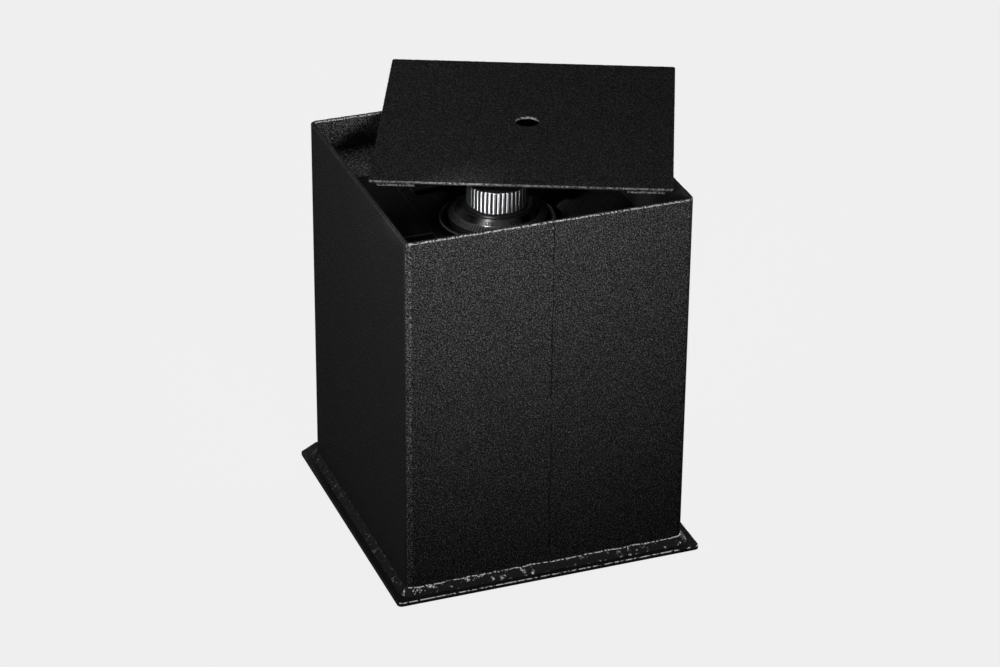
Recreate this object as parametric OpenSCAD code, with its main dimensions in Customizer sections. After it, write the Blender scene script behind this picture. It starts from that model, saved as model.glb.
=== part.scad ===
// In-floor safe: welded square box, sunk hinged door with a dial lock, loose dust cover.
// Origin at the centre of the base plate's underside, +Z up, seam face towards -Y. Millimetres.

/* [Body] */
// Outside width and depth of the square box
body_w = 305; // [285:1:400]
// Wall thickness of the box
wall_t = 4.8; // [3:0.1:8]
// Height of the rim above the floor
rim_h = 403; // [320:1:600]
// Outside radius of the four bent corners
corner_r = 8; // [6:0.5:16]
// How far the base plate reaches past each wall
base_reach = 14; // [8:1:40]
// Base plate thickness
base_t = 4.8; // [3:0.1:10]
// Base plate corner radius
base_corner_r = 5; // [2:0.5:12]
// How much further the base plate reaches at the back
base_back_extra = 9.5; // [0:0.5:20]
// Length along x cut off the base plate's two back corners
base_clip_x = 21.5; // [6:0.5:24]
// Length along y cut off the base plate's two back corners
base_clip_y = 14.5; // [6:0.5:16]
// Leg of the fillet weld round the foot
foot_weld_leg = 6.5; // [3:0.5:7.5]
// Width of the butt weld down the front face
seam_w = 5; // [3:0.5:10]
// How far the butt weld stands proud
seam_rise = 0.8; // [0.4:0.1:2]

/* [Dust cover] */
// Cover plate thickness
cover_t = 3.2; // [2:0.1:6]
// Cover plate corner radius
cover_corner_r = 3; // [1:0.5:10]
// Finger hole diameter
finger_hole_d = 25; // [18:1:40]
// Cover centre to the right of the box centre as it lies on the rim
cover_x = 58.5; // [40:0.5:70]
// Cover centre behind the box centre as it lies on the rim
cover_y = 69.6; // [60:0.1:75]
// Turn of the cover as it lies on the rim
cover_turn = -23.5; // [-26:0.5:-21]
// Length of each locating tab
tab_len = 38; // [20:1:40]
// Thickness of each locating tab
tab_t = 4; // [3:0.5:6]
// Depth of each locating tab below the plate
tab_h = 6; // [4:0.5:9]
// Distance of a tab from the side edge of the cover
tab_side = 8; // [7.5:0.5:14]
// Distance of a tab from the front or back edge of the cover
tab_end = 7; // [6.5:0.5:14]

/* [Door and deck] */
// Depth of the door face below the rim
recess_depth = 72; // [68:1:100]
// Door plate thickness
door_t = 12.7; // [10:0.1:20]
// Door width from side to side
door_w = 215.7; // [212:0.1:220]
// Door depth from front edge to back edge
door_d = 234.2; // [228:0.1:238]
// Gap from the door to the right and front walls
door_gap = 2; // [1:0.1:4]
// Deck plate thickness
deck_t = 6.4; // [4:0.1:10]
// Width of the deck ledge that the door rests on
bearing_w = 18; // [14:0.5:19]

/* [Hinge] */
// Distance of the hinge line behind the door's back edge
hinge_setback = 29.5; // [25:0.5:32]
// Hinge rod diameter
rod_d = 8; // [5:0.5:8]
// Length of rod held in each hinge block
rod_grip = 30; // [15:1:35]
// Width of a hinge arm
arm_w = 13; // [10:0.5:16]
// Distance of the right hinge arm from the door's right edge
right_arm_inset = 42.2; // [36:0.1:60]
// Side gap between a hinge arm and its block
arm_side_gap = 0.6; // [0.3:0.1:1.5]
// Room between the round arm end and the deck
arm_end_gap = 0.4; // [0.3:0.1:0.8]
// Length of the left hinge ledge from the back wall
ledge_len = 151.7; // [110:0.1:200]
// How far the hinge blocks stand above the door face
ledge_rise = 2; // [1:0.1:3]
// Gap from the door's back edge to the right hinge block
right_block_gap = 9.2; // [4:0.1:16]
// Rod collar length
collar_len = 7; // [4:0.5:10]
// Angle at which the open door meets its stop
door_open = 92; // [90:0.5:93]
// Door stop diameter
stop_d = 16; // [10:1:20]
// Height of the door stop above the hinge line
stop_rise = 56; // [45:1:60]
// Door stop centre to the right of the dial
stop_x = 75; // [72:1:78]

/* [Dial] */
// Distance of the dial axis from the door's left edge
dial_from_left = 70; // [68:0.5:74]
// Distance of the dial axis from the door's front edge
dial_from_front = 145.7; // [144:0.1:150]
// Dial ring radius
ring_r = 60; // [58:0.5:62]
// Dial ring height
ring_h = 8; // [6:0.5:9]
// Thickness of the ring's floor
ring_floor = 3; // [2:0.5:4]
// Dial radius at the tick band
dial_r = 51; // [46:0.5:54]
// Dial radius at the top of the cone
dial_top_r = 36; // [34:0.5:40]
// Height of the dial's edge above the door face
dial_edge_h = 12; // [10:0.5:14]
// Height of the dial's flat top above the door face
dial_top_h = 22; // [18:0.5:24]
// Gap between the dial and its ring
dial_gap = 1.5; // [0.8:0.1:2]
// Bright collar radius
bright_r = 35.5; // [33:0.5:36]
// Bright collar thickness
bright_t = 1.5; // [1:0.1:3]
// Knob radius
knob_r = 32; // [26:0.5:33]
// Knob height
knob_h = 24.5; // [18:0.5:25]
// Number of flutes on the knob
flutes = 40; // [24:1:48]
// Flute radius
flute_r = 1.7; // [1:0.1:2]
// Radius of the black disc in the knob's top
cap_r = 28.5; // [20:0.5:29]
// Thickness of the black disc
cap_t = 3; // [2:0.5:6]
// Depth of the black disc's face below the knob's top
cap_sink = 0.8; // [0.3:0.1:2]

/* [Lock] */
// Spindle diameter
spindle_d = 8; // [6:0.5:9]
// Outside diameter of the spindle tube
tube_d = 14; // [12:0.5:16]
// Hard plate thickness
hard_t = 6; // [3:0.5:8]
// Hard plate width
hard_w = 92; // [90:1:100]
// Lock case width
case_w = 80; // [78:1:88]
// Lock case length
case_d = 84; // [72:1:90]
// Distance of the case's front face ahead of the spindle
case_front = 34; // [33:0.5:36]
// Lock case height
case_h = 30; // [28:0.5:36]
// Lock case wall thickness
case_wall = 3; // [2:0.5:3.5]
// Thickness of the plate that closes the case
case_lid_t = 2.5; // [1.5:0.5:4]
// Radius of the combination wheels
wheel_r = 20; // [17:0.5:20.5]
// Wheel thickness
wheel_t = 3; // [2:0.1:3.5]
// Distance from wheel to wheel
wheel_pitch = 4.5; // [4:0.1:4.8]
// Drive cam thickness
cam_t = 4; // [3:0.5:5]
// Width of the gate in a wheel
gate_w = 5; // [3:0.5:7]
// Depth of the gate in a wheel
gate_deep = 4; // [2:0.5:6]

/* [Boltwork] */
// Travel of every bolt
throw = 14; // [10:0.5:14.5]
// Bolt diameter
bolt_d = 16; // [12:0.5:17]
// Clearance of the bolts below the deck
bolt_gap = 1; // [0.5:0.1:2]
// Distance of the outer front bolts from the sides of the door opening
bolt_inset = 31.85; // [31:0.05:38]
// Distance of the retracted bolt ends inside the door opening
bolt_set = 5; // [4.5:0.5:7]
// Thickness of the bolt guides along the bolt
guide_t = 12; // [8:0.5:12.5]
// Width of a side guide
side_guide_w = 34; // [32:0.5:36]
// Distance of the side bolts ahead of the lock case
side_bolt_ahead = 28; // [27:0.5:29]
// Carriage plate thickness
carriage_t = 5; // [3:0.5:6]
// Carriage flange thickness
flange_t = 6; // [4:0.5:7]
// Diameter of the side bolts' drive pins
drive_pin_d = 6; // [4:0.5:7]
// Lock bolt width
lock_bolt_w = 18; // [15:0.5:18.5]
// Lock bolt thickness
lock_bolt_t = 8; // [6:0.5:8]

/* [Fits] */
// Radial clearance of turning and sliding fits
run_fit = 0.05; // [0.02:0.01:0.1]
// Clearance of the drive pins in their slots
slot_fit = 0.3; // [0.1:0.05:0.5]
// Clearance between flat sliding pieces
slide_gap = 0.3; // [0.2:0.05:0.5]

/* [Screws] */
// Diameter of the lock, ring and side guide screws
small_screw_d = 4; // [3:0.5:5]
// Diameter of the bolt and front guide screws
large_screw_d = 6; // [4:0.5:6]
// Depth of screw thread in a solid piece
screw_grip = 8; // [5:0.5:9]

/* [Hidden] */
$fn = 64;
eps = 0.5;

paint = "#1c1c1c";
bare_steel = "#8d9093";
chrome = "#c9ccd0";
black = "#0d0d0d";
brass = "#b08d4a";
zinc = "#a9a9a4";

// Levels
half = body_w / 2;
inner = half - wall_t;
door_top = rim_h - recess_depth;
door_bottom = door_top - door_t;
deck_bottom = door_bottom - deck_t;
hinge_z = door_bottom + door_t / 2;

// Door edges and the opening under it
door_right = inner - door_gap;
door_left = door_right - door_w;
door_front = -inner + door_gap;
door_back = door_front + door_d;
open_left = door_left + bearing_w;
open_right = door_right - bearing_w;
open_front = door_front + bearing_w;
open_back = door_back - bearing_w;
open_mid = (open_left + open_right) / 2;
deck_corner_relief = 3;
deck_corner_r = corner_r - wall_t + deck_corner_relief;
open_corner_r = 5;

// Dial axis, and the sides of the opening as seen from it
dial_x = door_left + dial_from_left;
dial_y = door_front + dial_from_front;
bay_left = open_left - dial_x;
bay_right = open_right - dial_x;
bay_front = open_front - dial_y;
bay_mid = (bay_left + bay_right) / 2;

// Hinge
hinge_y = door_back + hinge_setback;
arm_end_r = door_t / 2 - arm_end_gap;
left_arm_x = door_left;
right_arm_x = door_right - right_arm_inset - arm_w;
ledge_right = left_arm_x - arm_side_gap;
block_left = right_arm_x + arm_w + arm_side_gap;
block_h = door_t + ledge_rise;
right_block_len = inner - door_back - right_block_gap;
collar_r = arm_end_r;
stop_top = stop_rise + stop_d / 2;
stop_lean = (stop_top - door_t / 2 * cos(door_open)) / tan(door_open);
stop_face = hinge_y + door_t / 2 * sin(door_open) - stop_lean + slide_gap;

// Dial stack
dial_floor = door_top + ring_floor + slide_gap * 2;
dial_edge = door_top + dial_edge_h;
dial_top = door_top + dial_top_h;
knob_base = dial_top + bright_t;
knob_top = knob_base + knob_h;
knob_neck_h = 1;
knob_neck_step = 1;
knob_neck_r = knob_r - flute_r - knob_neck_step;
ring_edge = 1;
ring_screw_out = 5;
ring_screw_r = (dial_r + tube_d / 2) / 2 + ring_screw_out;

// Lock
case_top = door_bottom - hard_t;
case_bottom = case_top - case_h;
case_back = -case_front + case_d;
case_roof = 4;
boss_wall = 2.5;
boss_r = small_screw_d / 2 + boss_wall;
boss_x = case_w / 2 - boss_r;
boss_front = -case_front + boss_r;
boss_back = case_back - boss_r;
wheel_gap = 2.3;
first_wheel_z = case_top - case_roof - wheel_gap - wheel_t;
tube_end = 1;
tube_bottom = first_wheel_z - 2 * wheel_pitch - tube_end;
cam_z = tube_bottom - tube_end - cam_t;
screw_head_k = 1.7;
screw_head_h_k = 0.6;

// Boltwork
part_gap = 1;
bolt_pitch = (bay_right - bay_left) / 2 - bolt_inset;
bolt_z = deck_bottom - bolt_gap - bolt_d / 2;
carriage_top = bolt_z - bolt_d / 2 - part_gap;
carriage_bottom = carriage_top - carriage_t;
bolt_tip = bay_front + bolt_set;
guide_front = bolt_tip + part_gap;
guide_back = guide_front + guide_t;
guide_lip = 3;
guide_h = door_bottom - bolt_z + bolt_d / 2 + guide_lip;
flange_front = guide_back + throw + part_gap;
flange_back = flange_front + flange_t;
carriage_edge = 2;
carriage_half = bolt_pitch + bolt_d / 2 + carriage_edge;
carriage_case_gap = 6;
carriage_back = -case_front - carriage_case_gap;
side_y = -case_front - side_bolt_ahead;
left_tip = bay_left + bolt_set - part_gap;
right_tip = bay_right - bolt_set + part_gap;
side_tip_show = 4;
side_guide_left = left_tip + side_tip_show;
side_guide_right = right_tip - side_tip_show;
round_spare = 8;
round_len = guide_t + throw + round_spare;
tail_len = 20;
tail_root = 2;
tail_w = bolt_d - 2 * tail_root;
tail_t = bolt_d / 2 - part_gap;
tail_bottom = carriage_top + slide_gap;
left_pin_x = left_tip + round_len + tail_len / 2;
right_pin_x = right_tip - round_len - tail_len / 2;
lock_bolt_left = 10;
lock_bolt_lap = 11;
lock_bolt_roof = 2;
lock_bolt_front = carriage_back - lock_bolt_lap;
lock_bolt_back = -wheel_r + eps;
lever_t = 3;
lever_w = 5;
lever_left = wheel_r + 2;
lever_back = 12;
lever_lap = 8;
lever_screw_deep = 5;
lever_front = lock_bolt_back - lever_lap;
lever_bottom = carriage_top + lock_bolt_t;
fence_gap = 1;

// Plain rounded square outline, centred
module rounded_outline(w, d, r) {
    square([w - 2 * r, d], center = true);
    square([w, d - 2 * r], center = true);
    for (x = [-1, 1], y = [-1, 1])
        translate([x * (w / 2 - r), y * (d / 2 - r)]) circle(r);
}

// Moves a piece drawn about the dial axis to its place in the box
module at_dial() {
    translate([dial_x, dial_y, 0]) children();
}

// Box given by two opposite corners
module block(low, high) {
    translate(low) cube(high - low);
}

// Cylinder along X from x0 to x1
module rod_x(x0, x1, y, z, d) {
    translate([x0, y, z]) rotate([0, 90, 0]) cylinder(d = d, h = x1 - x0);
}

// Cylinder along Y from y0 to y1
module rod_y(y0, y1, x, z, d) {
    translate([x, y0, z]) rotate([-90, 0, 0]) cylinder(d = d, h = y1 - y0);
}

// Screw pointing up: head under z0, shank up to z1
module screw_up(x, y, z0, z1, d) {
    head_h = d * screw_head_h_k;
    translate([x, y, z0 - head_h]) cylinder(d = d * screw_head_k, h = head_h);
    translate([x, y, z0]) cylinder(d = d, h = z1 - z0);
}

// Clearance hole along Z for a screw
module screw_hole(x, y, z0, z1, d) {
    translate([x, y, z0]) cylinder(d = d + 2 * run_fit, h = z1 - z0);
}

// Bent and welded square tube
module body_shell() color(paint)
    translate([0, 0, base_t]) linear_extrude(rim_h - base_t) difference() {
        rounded_outline(body_w, body_w, corner_r);
        rounded_outline(2 * inner, 2 * inner, corner_r - wall_t);
    }

// Ground butt weld where the tube closes
module seam_weld() color(paint)
    block([-seam_w / 2, -half - seam_rise, base_t + foot_weld_leg + eps],
          [seam_w / 2, -half, rim_h - eps]);

module base_plate() color(paint)
    linear_extrude(base_t) difference() {
        translate([0, base_back_extra / 2]) rounded_outline(
            body_w + 2 * base_reach, body_w + 2 * base_reach + base_back_extra, base_corner_r);
        for (side = [-1, 1]) scale([side, 1])
            back_corner_clip(half + base_reach, half + base_reach + base_back_extra);
    }

// The triangle cut off the plate's back corner at (side, back), run on past both edges by a fifth.
// A narrow plate is clipped less, so that the foot weld stays on it.
module back_corner_clip(side, back) {
    clip_x = min(base_clip_x, 1.55 * base_reach);
    clip_y = min(base_clip_y, 1.05 * base_reach);
    polygon([
        [side - 1.2 * clip_x, back + 0.2 * clip_y],
        [side + 0.2 * clip_x, back + 0.2 * clip_y],
        [side + 0.2 * clip_x, back - 1.2 * clip_y]
    ]);
}

// Fillet weld round the foot: four straight runs and four corners
module foot_weld() color(paint) {
    run = body_w - 2 * corner_r;
    section = [[0, 0], [foot_weld_leg, 0], [0, foot_weld_leg]];
    for (turn = [0:90:270]) rotate(turn) {
        translate([half, run / 2, base_t]) rotate([90, 0, 0])
            linear_extrude(run) polygon(section);
        translate([half - corner_r, half - corner_r, base_t])
            rotate_extrude(angle = 90) translate([corner_r, 0]) polygon(section);
    }
}

// Deck plate with the opening that the door closes
module deck_plate() color(paint)
    translate([0, 0, deck_bottom]) linear_extrude(deck_t) difference() {
        rounded_outline(2 * inner, 2 * inner, deck_corner_r);
        translate([open_mid, (open_front + open_back) / 2])
            rounded_outline(open_right - open_left, open_back - open_front, open_corner_r);
    }

// Hinge block outline with its wall corner rounded
module hinge_block(x0, x1, len, corner_x) {
    difference() {
        translate([x0, inner - len]) square([x1 - x0, len]);
        translate([corner_x, inner]) difference() {
            square(2 * deck_corner_r, center = true);
            translate([-sign(corner_x) * deck_corner_r, -deck_corner_r]) circle(deck_corner_r);
        }
    }
}

module left_hinge_ledge() color(paint)
    difference() {
        translate([0, 0, door_bottom]) linear_extrude(block_h)
            hinge_block(-inner, ledge_right, ledge_len, -inner);
        rod_x(ledge_right - rod_grip, ledge_right + eps, hinge_y, hinge_z, rod_d + 2 * run_fit);
    }

module right_hinge_block() color(paint)
    difference() {
        translate([0, 0, door_bottom]) linear_extrude(block_h)
            hinge_block(block_left, inner, right_block_len, inner);
        rod_x(block_left - eps, block_left + rod_grip, hinge_y, hinge_z, rod_d + 2 * run_fit);
    }

module hinge_rod() color(bare_steel)
    rod_x(ledge_right - rod_grip, block_left + rod_grip, hinge_y, hinge_z, rod_d);

// Collars that keep the rod from walking sideways
module rod_collars() color(bare_steel)
    for (x = [left_arm_x + arm_w + arm_side_gap, right_arm_x - arm_side_gap - collar_len])
        difference() {
            rod_x(x, x + collar_len, hinge_y, hinge_z, 2 * collar_r);
            rod_x(x - eps, x + collar_len + eps, hinge_y, hinge_z, rod_d + 2 * run_fit);
        }

// Rubber stop on the back wall that the open door leans on
module door_stop() color(black)
    rod_y(stop_face, inner, dial_x + stop_x, hinge_z + stop_rise, stop_d);

// One hinge arm behind the door, thinned above and below its round end
module hinge_arm(x) {
    thin_from = hinge_y - arm_end_r / 2;
    difference() {
        union() {
            block([x, door_back - eps, door_bottom], [x + arm_w, hinge_y, door_top]);
            rod_x(x, x + arm_w, hinge_y, hinge_z, 2 * arm_end_r);
        }
        block([x - eps, thin_from, hinge_z + arm_end_r], [x + arm_w + eps, hinge_y + eps, door_top + eps]);
        block([x - eps, thin_from, door_bottom - eps], [x + arm_w + eps, hinge_y + eps, hinge_z - arm_end_r]);
    }
}

// Holes in the door for the spindle tube, the lock, the dial ring and the bolt guides
module door_holes() {
    low = door_bottom - eps;
    high = door_bottom + screw_grip;
    screw_hole(0, 0, low, door_top + eps, tube_d);
    for (p = lock_screw_places()) screw_hole(p[0], p[1], low, high, small_screw_d);
    for (a = ring_screw_turns())
        rotate(a) screw_hole(ring_screw_r, 0, door_top - screw_grip, door_top + eps, small_screw_d);
    for (x = front_guide_screw_xs()) screw_hole(x, guide_mid(), low, high, large_screw_d);
    for (p = side_guide_screw_places()) screw_hole(p[0], p[1], low, high, small_screw_d);
}

module door_plate() color(paint)
    difference() {
        union() {
            block([door_left, door_front, door_bottom], [door_right, door_back, door_top]);
            for (x = [left_arm_x, right_arm_x]) hinge_arm(x);
        }
        rod_x(door_left - eps, right_arm_x + arm_w + eps, hinge_y, hinge_z, rod_d + 2 * run_fit);
        at_dial() door_holes();
    }

function lock_screw_places() = [for (x = [-boss_x, boss_x], y = [boss_front, boss_back]) [x, y]];
function ring_screw_turns() = [30, 150, 270];
function guide_mid() = (guide_front + guide_back) / 2;
function front_guide_screw_xs() = [bay_mid - bolt_pitch / 2, bay_mid + bolt_pitch / 2];
function front_bolt_xs() = [bay_mid - bolt_pitch, bay_mid, bay_mid + bolt_pitch];
function side_guide_mids() = [side_guide_left + guide_t / 2, side_guide_right - guide_t / 2];
function side_screw_step() = (side_guide_w + bolt_d) / 4;
function side_guide_screw_places() =
    [for (x = side_guide_mids(), s = [-1, 1]) [x, side_y + s * side_screw_step()]];

// Hardened plate between the door and the lock
module hard_plate() color(bare_steel)
    difference() {
        block([-hard_w / 2, -case_front, case_top], [hard_w / 2, case_back, door_bottom]);
        screw_hole(0, 0, case_top - eps, door_bottom + eps, tube_d);
        for (p = lock_screw_places())
            screw_hole(p[0], p[1], case_top - eps, door_bottom + eps, small_screw_d);
    }

module lock_case() color(zinc)
    difference() {
        block([-case_w / 2, -case_front, case_bottom], [case_w / 2, case_back, case_top]);
        difference() {
            block([-case_w / 2 + case_wall, -case_front + case_wall, case_bottom - eps],
                  [case_w / 2 - case_wall, case_back - case_wall, case_top - case_roof]);
            for (p = lock_screw_places())
                translate([p[0], p[1], case_bottom - 2 * eps]) cylinder(r = boss_r, h = case_h);
        }
        block([lock_bolt_left - slide_gap, -case_front - eps, carriage_top - slide_gap],
              [lock_bolt_left + lock_bolt_w + slide_gap, -case_front + case_wall + eps,
               lever_bottom + lever_t + slide_gap]);
        screw_hole(0, 0, case_bottom, case_top + eps, tube_d);
        for (p = lock_screw_places())
            screw_hole(p[0], p[1], case_bottom - eps, case_top + eps, small_screw_d);
    }

module lock_case_lid() color(zinc)
    difference() {
        block([-case_w / 2, -case_front, case_bottom - case_lid_t], [case_w / 2, case_back, case_bottom]);
        for (p = lock_screw_places())
            screw_hole(p[0], p[1], case_bottom - case_lid_t - eps, case_bottom + eps, small_screw_d);
    }

module lock_case_screws() color(bare_steel)
    for (p = lock_screw_places())
        screw_up(p[0], p[1], case_bottom - case_lid_t, door_bottom + screw_grip, small_screw_d);

// Fixed ring that the dial turns in
module dial_ring() color(black)
    difference() {
        rotate_extrude() polygon([
            [tube_d / 2 + run_fit, door_top], [ring_r, door_top], [ring_r, door_top + ring_h - ring_edge],
            [ring_r - ring_edge, door_top + ring_h], [dial_r + dial_gap, door_top + ring_h],
            [dial_r + dial_gap, door_top + ring_floor], [tube_d / 2 + run_fit, door_top + ring_floor]
        ]);
        for (a = ring_screw_turns()) rotate(a) {
            screw_hole(ring_screw_r, 0, door_top - eps, door_top + ring_floor + eps, small_screw_d);
            screw_hole(ring_screw_r, 0, door_top + ring_floor / 2, door_top + ring_floor + eps,
                       small_screw_d * screw_head_k);
        }
    }

// Flat screws sunk in the ring's floor
module dial_ring_screws() color(bare_steel)
    for (a = ring_screw_turns()) rotate(a) translate([ring_screw_r, 0, 0]) {
        translate([0, 0, door_top + ring_floor / 2])
            cylinder(d = small_screw_d * screw_head_k, h = ring_floor / 2);
        translate([0, 0, door_top - screw_grip])
            cylinder(d = small_screw_d, h = screw_grip + ring_floor / 2 + eps);
    }

// Tube through the door, whose lower end is the wheel post
module spindle_tube() color(brass)
    translate([0, 0, tube_bottom]) difference() {
        cylinder(d = tube_d, h = door_top + ring_floor - tube_bottom);
        translate([0, 0, -eps])
            cylinder(d = spindle_d + 2 * run_fit, h = door_top + ring_floor - tube_bottom + 2 * eps);
    }

module front_bolt_guide() color(paint)
    difference() {
        block([side_guide_left, guide_front, door_bottom - guide_h],
              [side_guide_right, guide_back, door_bottom]);
        for (x = front_bolt_xs())
            rod_y(guide_front - eps, guide_back + eps, x, bolt_z, bolt_d + 2 * run_fit);
        for (x = front_guide_screw_xs())
            screw_hole(x, guide_mid(), door_bottom - guide_h - eps, door_bottom + eps, large_screw_d);
    }

module front_guide_screws() color(bare_steel)
    for (x = front_guide_screw_xs())
        screw_up(x, guide_mid(), door_bottom - guide_h, door_bottom + screw_grip, large_screw_d);

// Guide block of one side bolt, by its left face
module side_guide(x) {
    difference() {
        block([x, side_y - side_guide_w / 2, door_bottom - guide_h],
              [x + guide_t, side_y + side_guide_w / 2, door_bottom]);
        rod_x(x - eps, x + guide_t + eps, side_y, bolt_z, bolt_d + 2 * run_fit);
        for (s = [-1, 1])
            screw_hole(x + guide_t / 2, side_y + s * side_screw_step(), door_bottom - guide_h - eps,
                       door_bottom + eps, small_screw_d);
    }
}

module left_bolt_guide() color(paint) side_guide(side_guide_left);
module right_bolt_guide() color(paint) side_guide(side_guide_right - guide_t);

module side_guide_screws() color(bare_steel)
    for (p = side_guide_screw_places())
        screw_up(p[0], p[1], door_bottom - guide_h, door_bottom + screw_grip, small_screw_d);

// Dial with a conical number band
module dial() color(black)
    rotate_extrude() polygon([
        [spindle_d / 2 + run_fit, dial_floor], [dial_r, dial_floor], [dial_r, dial_edge],
        [dial_top_r, dial_top], [spindle_d / 2 + run_fit, dial_top]
    ]);

module dial_collar() color(chrome)
    translate([0, 0, dial_top]) difference() {
        cylinder(r = bright_r, h = bright_t);
        translate([0, 0, -eps]) cylinder(d = spindle_d + 2 * run_fit, h = bright_t + 2 * eps);
    }

// Fluted knob with a neck, a socket for the spindle and a seat for the black disc
module dial_knob() color(chrome)
    difference() {
        union() {
            translate([0, 0, knob_base]) cylinder(r = knob_neck_r, h = knob_neck_h);
            translate([0, 0, knob_base + knob_neck_h]) difference() {
                cylinder(r = knob_r, h = knob_h - knob_neck_h);
                for (i = [0:flutes - 1]) rotate(i * 360 / flutes)
                    translate([knob_r + flute_r / 4, 0, -eps])
                        cylinder(r = flute_r, h = knob_h, $fn = 24);
            }
        }
        translate([0, 0, knob_base - eps])
            cylinder(d = spindle_d + 2 * run_fit, h = screw_grip + eps);
        translate([0, 0, knob_top - cap_t - cap_sink])
            cylinder(r = cap_r + run_fit, h = cap_t + cap_sink + eps);
    }

module knob_cap() color(black)
    translate([0, 0, knob_top - cap_t - cap_sink]) cylinder(r = cap_r, h = cap_t);

module spindle() color(bare_steel)
    translate([0, 0, cam_z]) cylinder(d = spindle_d, h = knob_base + screw_grip - cam_z);

// Round disc with one gate and a bore, lying at height z
module gated_disc(z, t, bore_d) {
    r = wheel_r;
    translate([0, 0, z]) difference() {
        cylinder(r = r, h = t);
        translate([0, 0, -eps]) cylinder(d = bore_d + 2 * run_fit, h = t + 2 * eps);
        translate([r - gate_deep, -gate_w / 2, -eps]) cube([gate_deep + eps, gate_w, t + 2 * eps]);
    }
}

module drive_cam() color(brass) gated_disc(cam_z, cam_t, spindle_d);
module wheel_1() color(brass) gated_disc(first_wheel_z - 2 * wheel_pitch, wheel_t, tube_d);
module wheel_2() color(brass) gated_disc(first_wheel_z - wheel_pitch, wheel_t, tube_d);
module wheel_3() color(brass) gated_disc(first_wheel_z, wheel_t, tube_d);

// Outline of the punched slot that turns the carriage's forward travel into sideways travel
module drive_slot(x, way) {
    width = drive_pin_d + 2 * slot_fit;
    translate([x, side_y]) rotate(way > 0 ? 45 : 135)
        translate([-width / 2, -width / 2]) square([throw * sqrt(2) + width, width]);
}

function lock_bolt_screw_places() =
    [for (k = [0.25, 0.75]) [lock_bolt_left + k * lock_bolt_w, (carriage_back + lock_bolt_front) / 2]];

// Angle plate that carries the front bolts and drives the side bolts
module bolt_carriage() color(paint) {
    translate([0, 0, carriage_bottom]) linear_extrude(carriage_t) difference() {
        translate([bay_mid - carriage_half, flange_front])
            square([2 * carriage_half, carriage_back - flange_front]);
        drive_slot(left_pin_x, -1);
        drive_slot(right_pin_x, 1);
        for (p = lock_bolt_screw_places()) translate(p) circle(d = small_screw_d + 2 * run_fit);
    }
    difference() {
        block([bay_mid - carriage_half, flange_front, carriage_top - eps],
              [bay_mid + carriage_half, flange_back, bolt_z + bolt_d / 2 - part_gap]);
        for (x = front_bolt_xs())
            rod_y(flange_front - eps, flange_back + eps, x, bolt_z, large_screw_d + 2 * run_fit);
    }
}

module front_bolts() color(bare_steel)
    for (x = front_bolt_xs()) difference() {
        rod_y(bolt_tip, flange_front, x, bolt_z, bolt_d);
        rod_y(flange_front - 2 * screw_grip, flange_front + eps, x, bolt_z, large_screw_d + 2 * run_fit);
    }

module front_bolt_screws() color(bare_steel)
    for (x = front_bolt_xs()) {
        head_end = flange_back + large_screw_d * screw_head_h_k;
        rod_y(flange_front - 2 * screw_grip, flange_back, x, bolt_z, large_screw_d);
        rod_y(flange_back, head_end, x, bolt_z, large_screw_d * screw_head_k);
    }

module lock_bolt() color(brass)
    difference() {
        block([lock_bolt_left, lock_bolt_front, carriage_top],
              [lock_bolt_left + lock_bolt_w, lock_bolt_back, carriage_top + lock_bolt_t]);
        for (p = lock_bolt_screw_places())
            screw_hole(p[0], p[1], carriage_top - eps, lever_bottom - lock_bolt_roof, small_screw_d);
        screw_hole(lever_left + lever_w / 2, lever_front + lever_w / 2, lever_bottom - lever_screw_deep,
                   lever_bottom + eps, small_screw_d / 2);
    }

module lock_bolt_screws() color(bare_steel)
    for (p = lock_bolt_screw_places())
        screw_up(p[0], p[1], carriage_bottom, lever_bottom - lock_bolt_roof, small_screw_d);

// Lever with the fence that drops into the wheel gates
module fence_lever() color(zinc)
    difference() {
        union() {
            block([lever_left, lever_front, lever_bottom],
                  [lever_left + lever_w, lever_back, lever_bottom + lever_t]);
            block([wheel_r + fence_gap, lever_back - lever_w, cam_z],
                  [lever_left + lever_w, lever_back, lever_bottom + lever_t]);
        }
        screw_hole(lever_left + lever_w / 2, lever_front + lever_w / 2, lever_bottom - eps,
                   lever_bottom + lever_t + eps, small_screw_d / 2);
    }

module lever_screw() color(bare_steel)
    translate([lever_left + lever_w / 2, lever_front + lever_w / 2, lever_bottom - lever_screw_deep])
        cylinder(d = small_screw_d / 2, h = lever_screw_deep + lever_t);

// Side bolt with a round nose and a flat tail; way is -1 for the left bolt and 1 for the right
module side_bolt(tip, pin_x, way) {
    nose_root = tip - way * round_len;
    tail_from = pin_x - tail_len / 2 - (way < 0 ? tail_root : 0);
    tail_to = pin_x + tail_len / 2 + (way > 0 ? tail_root : 0);
    difference() {
        union() {
            rod_x(min(tip, nose_root), max(tip, nose_root), side_y, bolt_z, bolt_d);
            block([tail_from, side_y - tail_w / 2, tail_bottom],
                  [tail_to, side_y + tail_w / 2, tail_bottom + tail_t]);
        }
        screw_hole(pin_x, side_y, tail_bottom - eps, tail_bottom + tail_t + eps, drive_pin_d);
    }
}

module left_bolt() color(bare_steel) side_bolt(left_tip, left_pin_x, -1);
module right_bolt() color(bare_steel) side_bolt(right_tip, right_pin_x, 1);

// Pin that rides in a carriage slot
module drive_pin(x) {
    pin_end = carriage_bottom - part_gap;
    translate([x, side_y, pin_end]) cylinder(d = drive_pin_d, h = tail_bottom + tail_t - pin_end);
}

module left_drive_pin() color(bare_steel) drive_pin(left_pin_x);
module right_drive_pin() color(bare_steel) drive_pin(right_pin_x);

// Places a piece of the cover as the cover lies on the rim
module cover_place() {
    translate([cover_x, cover_y, rim_h]) rotate(cover_turn) children();
}

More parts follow.
